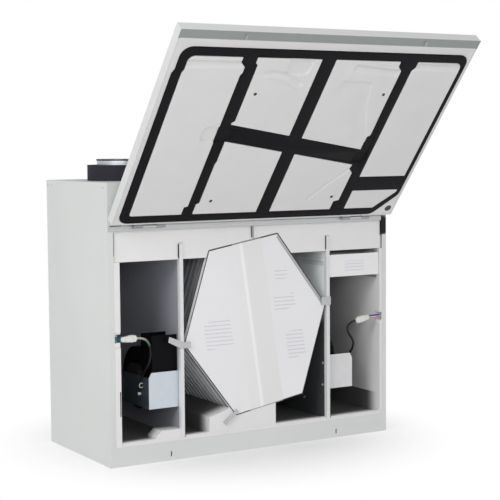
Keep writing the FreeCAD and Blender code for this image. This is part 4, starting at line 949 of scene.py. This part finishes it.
def gasket_mesh(name):
    """Flat rubber sheet with seven windows: a filled outline with rolled edges, set in the door."""
    data = bpy.data.curves.new(name, "CURVE")
    data.dimensions = "2D"
    data.fill_mode = "BOTH"
    data.extrude = (GASKET_TOP - CHANNEL) / 2 * MM - GASKET_ROLL
    data.bevel_depth = GASKET_ROLL
    data.bevel_resolution = 2
    data.offset = -GASKET_ROLL
    for corners in [LOOP] + [corners for corners, ends in WINDOWS.values()]:
        outline = rounded(corners)[0]
        spline = data.splines.new("POLY")
        spline.points.add(len(outline) - 1)
        flat = np.zeros((len(outline), 4))
        flat[:, :2] = outline * MM
        flat[:, 3] = 1.0
        spline.points.foreach_set("co", flat.ravel())
        spline.use_cyclic_u = True
    curve = new_object(name, data)
    graph = bpy.context.evaluated_depsgraph_get()
    sheet = bpy.data.meshes.new_from_object(curve.evaluated_get(graph))
    bpy.data.objects.remove(curve)
    flat = np.empty(len(sheet.vertices) * 3)
    sheet.vertices.foreach_get("co", flat)
    flat = flat.reshape(-1, 3) / MM
    seated = on_door(flat[:, 0], flat[:, 1], flat[:, 2] + (GASKET_TOP + CHANNEL) / 2)
    sheet.vertices.foreach_set("co", seated.ravel())
    return sheet


def hollow_tool(centre_x, centre_s, half_x, half_s):
    """Closed box-like pillow that presses a hollow over a turn clip.

    It is a superellipsoid of power 4 across and 10 in height, a little wider than the hollow, and
    from its middle it reaches down by its depth.
    """
    growth, middle, depth = 1.14, 12.7, 8.3
    outline = squircle(40, 4.0)
    rise = np.linspace(-math.pi / 2, math.pi / 2, 17)[1:-1][:, None]
    level, flat = np.sin(rise), np.cos(rise) ** 0.2
    x = outline[:, 0] * flat * half_x * growth
    s = outline[:, 1] * flat * half_s * growth
    lift = np.sign(level) * np.abs(level) ** 0.8 * depth + middle
    return on_door(centre_x + x, centre_s + s, lift).reshape(-1, 3), tube_faces(15, 40)


class HRU_OT_door(bpy.types.Operator):
    """Mould the door's foam and lay its rubber seal"""
    bl_idname = "hru.door"
    bl_label = "Door foam and seal"

    def execute(self, context):
        settings = context.scene.hru_foam
        # the door's foam is the foam made 6% darker: painted shade
        foam = bead_foam("door_bead_foam", shade(settings.foam, 0.94))
        bed = piece("door_foam_bed", "door", foam, [bed_shell()])
        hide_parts("door_insulation")
        pads = piece("door_foam_panels", "door", foam,
                     [pad_shell(corners, ends) for corners, ends in WINDOWS.values()])
        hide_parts("door_insulation")
        rubber = cellular_rubber("door_rubber", settings.rubber)
        gasket = dress("door_seal", gasket_mesh("door_seal"), "door", rubber)
        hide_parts("door_gasket")
        for room in CLIP_DENTS[:2]:
            points, faces = hollow_tool(*room)
            tool = new_object("hollow", new_mesh("hollow", points.tolist(), faces))
            pressed = gasket.modifiers.new("hollow", "BOOLEAN")
            pressed.solver = "EXACT"
            pressed.object = tool
            graph = context.evaluated_depsgraph_get()
            graph.update()
            made = bpy.data.meshes.new_from_object(gasket.evaluated_get(graph))
            gasket.modifiers.clear()
            gasket.data = made
            bpy.data.objects.remove(tool)
        magnet = lathe([(0.1, -6.5), (12, -6.5), (12, -0.5), (11.4, 0), (8.4, 0), (8.1, -0.28),
                        (3.4, -0.28), (3, -0.33), (0.1, -0.33)],
                       on_door(*MAGNET_PLACE, SHOULDER + 0.4), INWARD, 40)
        plastic = moulding("magnet_plastic", (0.012, 0.012, 0.014), 0.3)
        puck = piece("door_magnet_puck", "door", plastic, [magnet])
        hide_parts("door_gasket")
        profile = [(0.1, -1.5), (5.2, -1.5), (5.2, 0.2), (4.3, 0.9), (0.1, 1.0)]
        piece("door_foam_plugs", "door", plastic,
              [lathe(profile, on_door(x, s, PAD_TOP + relief(x, s)), INWARD, 20)
               for x, s in PLUG_PLACES])
        return {"FINISHED"}


# Exchanger, fans and filter --------------------


class HRU_OT_exchanger(bpy.types.Operator):
    """Finish the exchanger, its strap and its clips"""
    bl_idname = "hru.exchanger"
    bl_label = "Exchanger"

    def execute(self, context):
        finish_nodes(powder_coat("exchanger_panel", (0.80, 0.80, 0.815), 0.3),
                     "exchanger_front_plate", "exchanger_back_plate")
        finish_nodes(plates_with_painted_shade(), "exchanger_core")
        finish_nodes(tape_film(), "exchanger_strap")
        finish_nodes(moulding("clip_moulding", (0.50, 0.50, 0.51)), *both("exchanger_clip"),
                     "lower_exchanger_clip")
        return {"FINISHED"}


class HRU_OT_fans(bpy.types.Operator):
    """Finish the fans, filter and small fittings"""
    bl_idname = "hru.fans"
    bl_label = "Fans and fittings"

    def execute(self, context):
        finish_nodes(moulding("fan_moulding", (0.003, 0.003, 0.004), 0.45, gloss=0.08),
                     *both("fan_scroll", "fan_impeller"))
        finish_nodes(moulding("motor_casting", (0.012, 0.012, 0.014), 0.45, gloss=0.25),
                     *both("fan_motor"))
        finish_nodes(moulding("black_fitting", (0.008, 0.008, 0.010), 0.35, gloss=0.2),
                     "door_switch", "control_box", "condensate_drain")
        finish_nodes(moulding("latch_moulding", (0.42, 0.42, 0.41)), "door_latch_left",
                     "door_latch_right")
        finish_nodes(moulding("filter_card", (0.80, 0.80, 0.81), 0.6), "filter_frame")
        finish_nodes(fleece("filter_fleece", (0.75, 0.75, 0.73)), "filter_media")
        return {"FINISHED"}


# Stage --------------------


def area_lamp(name, place, aim, size, power):
    """Soft square lamp aimed at a point."""
    data = bpy.data.lights.new(name, "AREA")
    data.shape = "SQUARE"
    data.size = size
    data.energy = power
    lamp = new_object(name, data)
    lamp.location = place
    lamp.rotation_euler = (Vector(aim) - Vector(place)).to_track_quat("-Z", "Y").to_euler()


def floor_material():
    """Pale floor that keeps a shadow near the object and fades to plain white."""
    look = Nodes(bpy.data.materials.new("stage_floor"))
    matt = look.add("BsdfDiffuse", {"Color": (0.93, 0.93, 0.93, 1.0)})
    white = look.add("Emission", {"Strength": 1.0})
    place = look.add("TexCoord", output="Object")
    away = look.add("VectorMath", {0: place}, "Value", operation="LENGTH")
    camera = look.add("LightPath", output="Is Camera Ray")
    seen = look.maths("MAXIMUM", camera, camera.node.outputs["Is Glossy Ray"])
    share = look.maths("MULTIPLY", look.ease(away, 0.20, 0.78), seen)
    mix = look.add("MixShader", {"Fac": share, 1: matt, 2: white})
    look.add("OutputMaterial", {"Surface": mix})
    return look.owner


class HRU_OT_stage(bpy.types.Operator):
    """Add the floor, lamps, world light and camera"""
    bl_idname = "hru.stage"
    bl_label = "Stage"

    def execute(self, context):
        scene = context.scene
        settings = scene.hru_stage
        scene.view_settings.view_transform = "Standard"
        reach = 40.0
        corners = rectangle(-reach, -reach, reach, reach)
        mesh = new_mesh("floor", [(*corner, 0) for corner in corners], [(0, 1, 2, 3)])
        floor = new_object("floor", mesh)
        mesh.materials.append(floor_material())

        studio = Nodes(bpy.data.worlds.new("studio"))
        scene.world = studio.owner
        white = (1.0, 1.0, 1.0, 1.0)
        even, seen = (studio.add("Background", {"Color": white, "Strength": strength})
                      for strength in (settings.world, 1.0))
        camera_ray = studio.add("LightPath", output="Is Camera Ray")
        mix = studio.add("MixShader", {"Fac": camera_ray, 1: even, 2: seen})
        studio.add("OutputWorld", {"Surface": mix})

        area_lamp("key", (-4.2, -2.2, 3.0), (0, 0, 0.5), 2.2, 106.0)
        area_lamp("fill", (2.2, -4.6, 2.2), (0, 0, 0.6), 2.6, 20.0)
        area_lamp("front", (-2.0, -4.6, 1.6), (0, 0, 0.5), 1.1, 36.0)

        data = bpy.data.cameras.new("camera")
        data.sensor_width = 36.0
        data.lens = settings.lens
        data.clip_end = 100.0
        camera = new_object("camera", data)
        turn = (Matrix.Rotation(-settings.yaw, 4, "Z")
                @ Matrix.Rotation(math.pi / 2 - settings.pitch, 4, "X")
                @ Matrix.Rotation(settings.roll, 4, "Z"))
        camera.matrix_world = Matrix.Translation(settings.stand) @ turn
        scene.camera = camera
        return {"FINISHED"}


class HRU_PT_panel(bpy.types.Panel):
    """Heat recovery unit"""
    bl_idname = "HRU_PT_panel"
    bl_label = "Heat recovery unit"
    bl_space_type = "VIEW_3D"
    bl_region_type = "UI"
    bl_category = "Heat recovery unit"

    def draw(self, context):
        for operator in OPERATORS:
            self.layout.operator(operator.bl_idname)


# Add-on --------------------


OPERATORS = (HRU_OT_stage, HRU_OT_wiring, HRU_OT_casing, HRU_OT_foam, HRU_OT_door, HRU_OT_exchanger,
             HRU_OT_fans, HRU_OT_fittings)
SETTINGS = (("hru_casing", CasingSettings), ("hru_foam", FoamSettings),
            ("hru_stage", StageSettings))


def register():
    """Register the settings, operators and panel."""
    for name, group in SETTINGS:
        bpy.utils.register_class(group)
        setattr(bpy.types.Scene, name, bpy.props.PointerProperty(type=group))
    for cls in (*OPERATORS, HRU_PT_panel):
        bpy.utils.register_class(cls)


def unregister():
    """Take out what register put in."""
    for cls in (*OPERATORS, HRU_PT_panel):
        bpy.utils.unregister_class(cls)
    for name, group in SETTINGS:
        delattr(bpy.types.Scene, name)
        bpy.utils.unregister_class(group)


def main():
    """Build everything in order."""
    register()
    for operator in OPERATORS:
        getattr(bpy.ops.hru, operator.bl_idname.split(".")[1])()


if __name__ == "__main__":
    main()
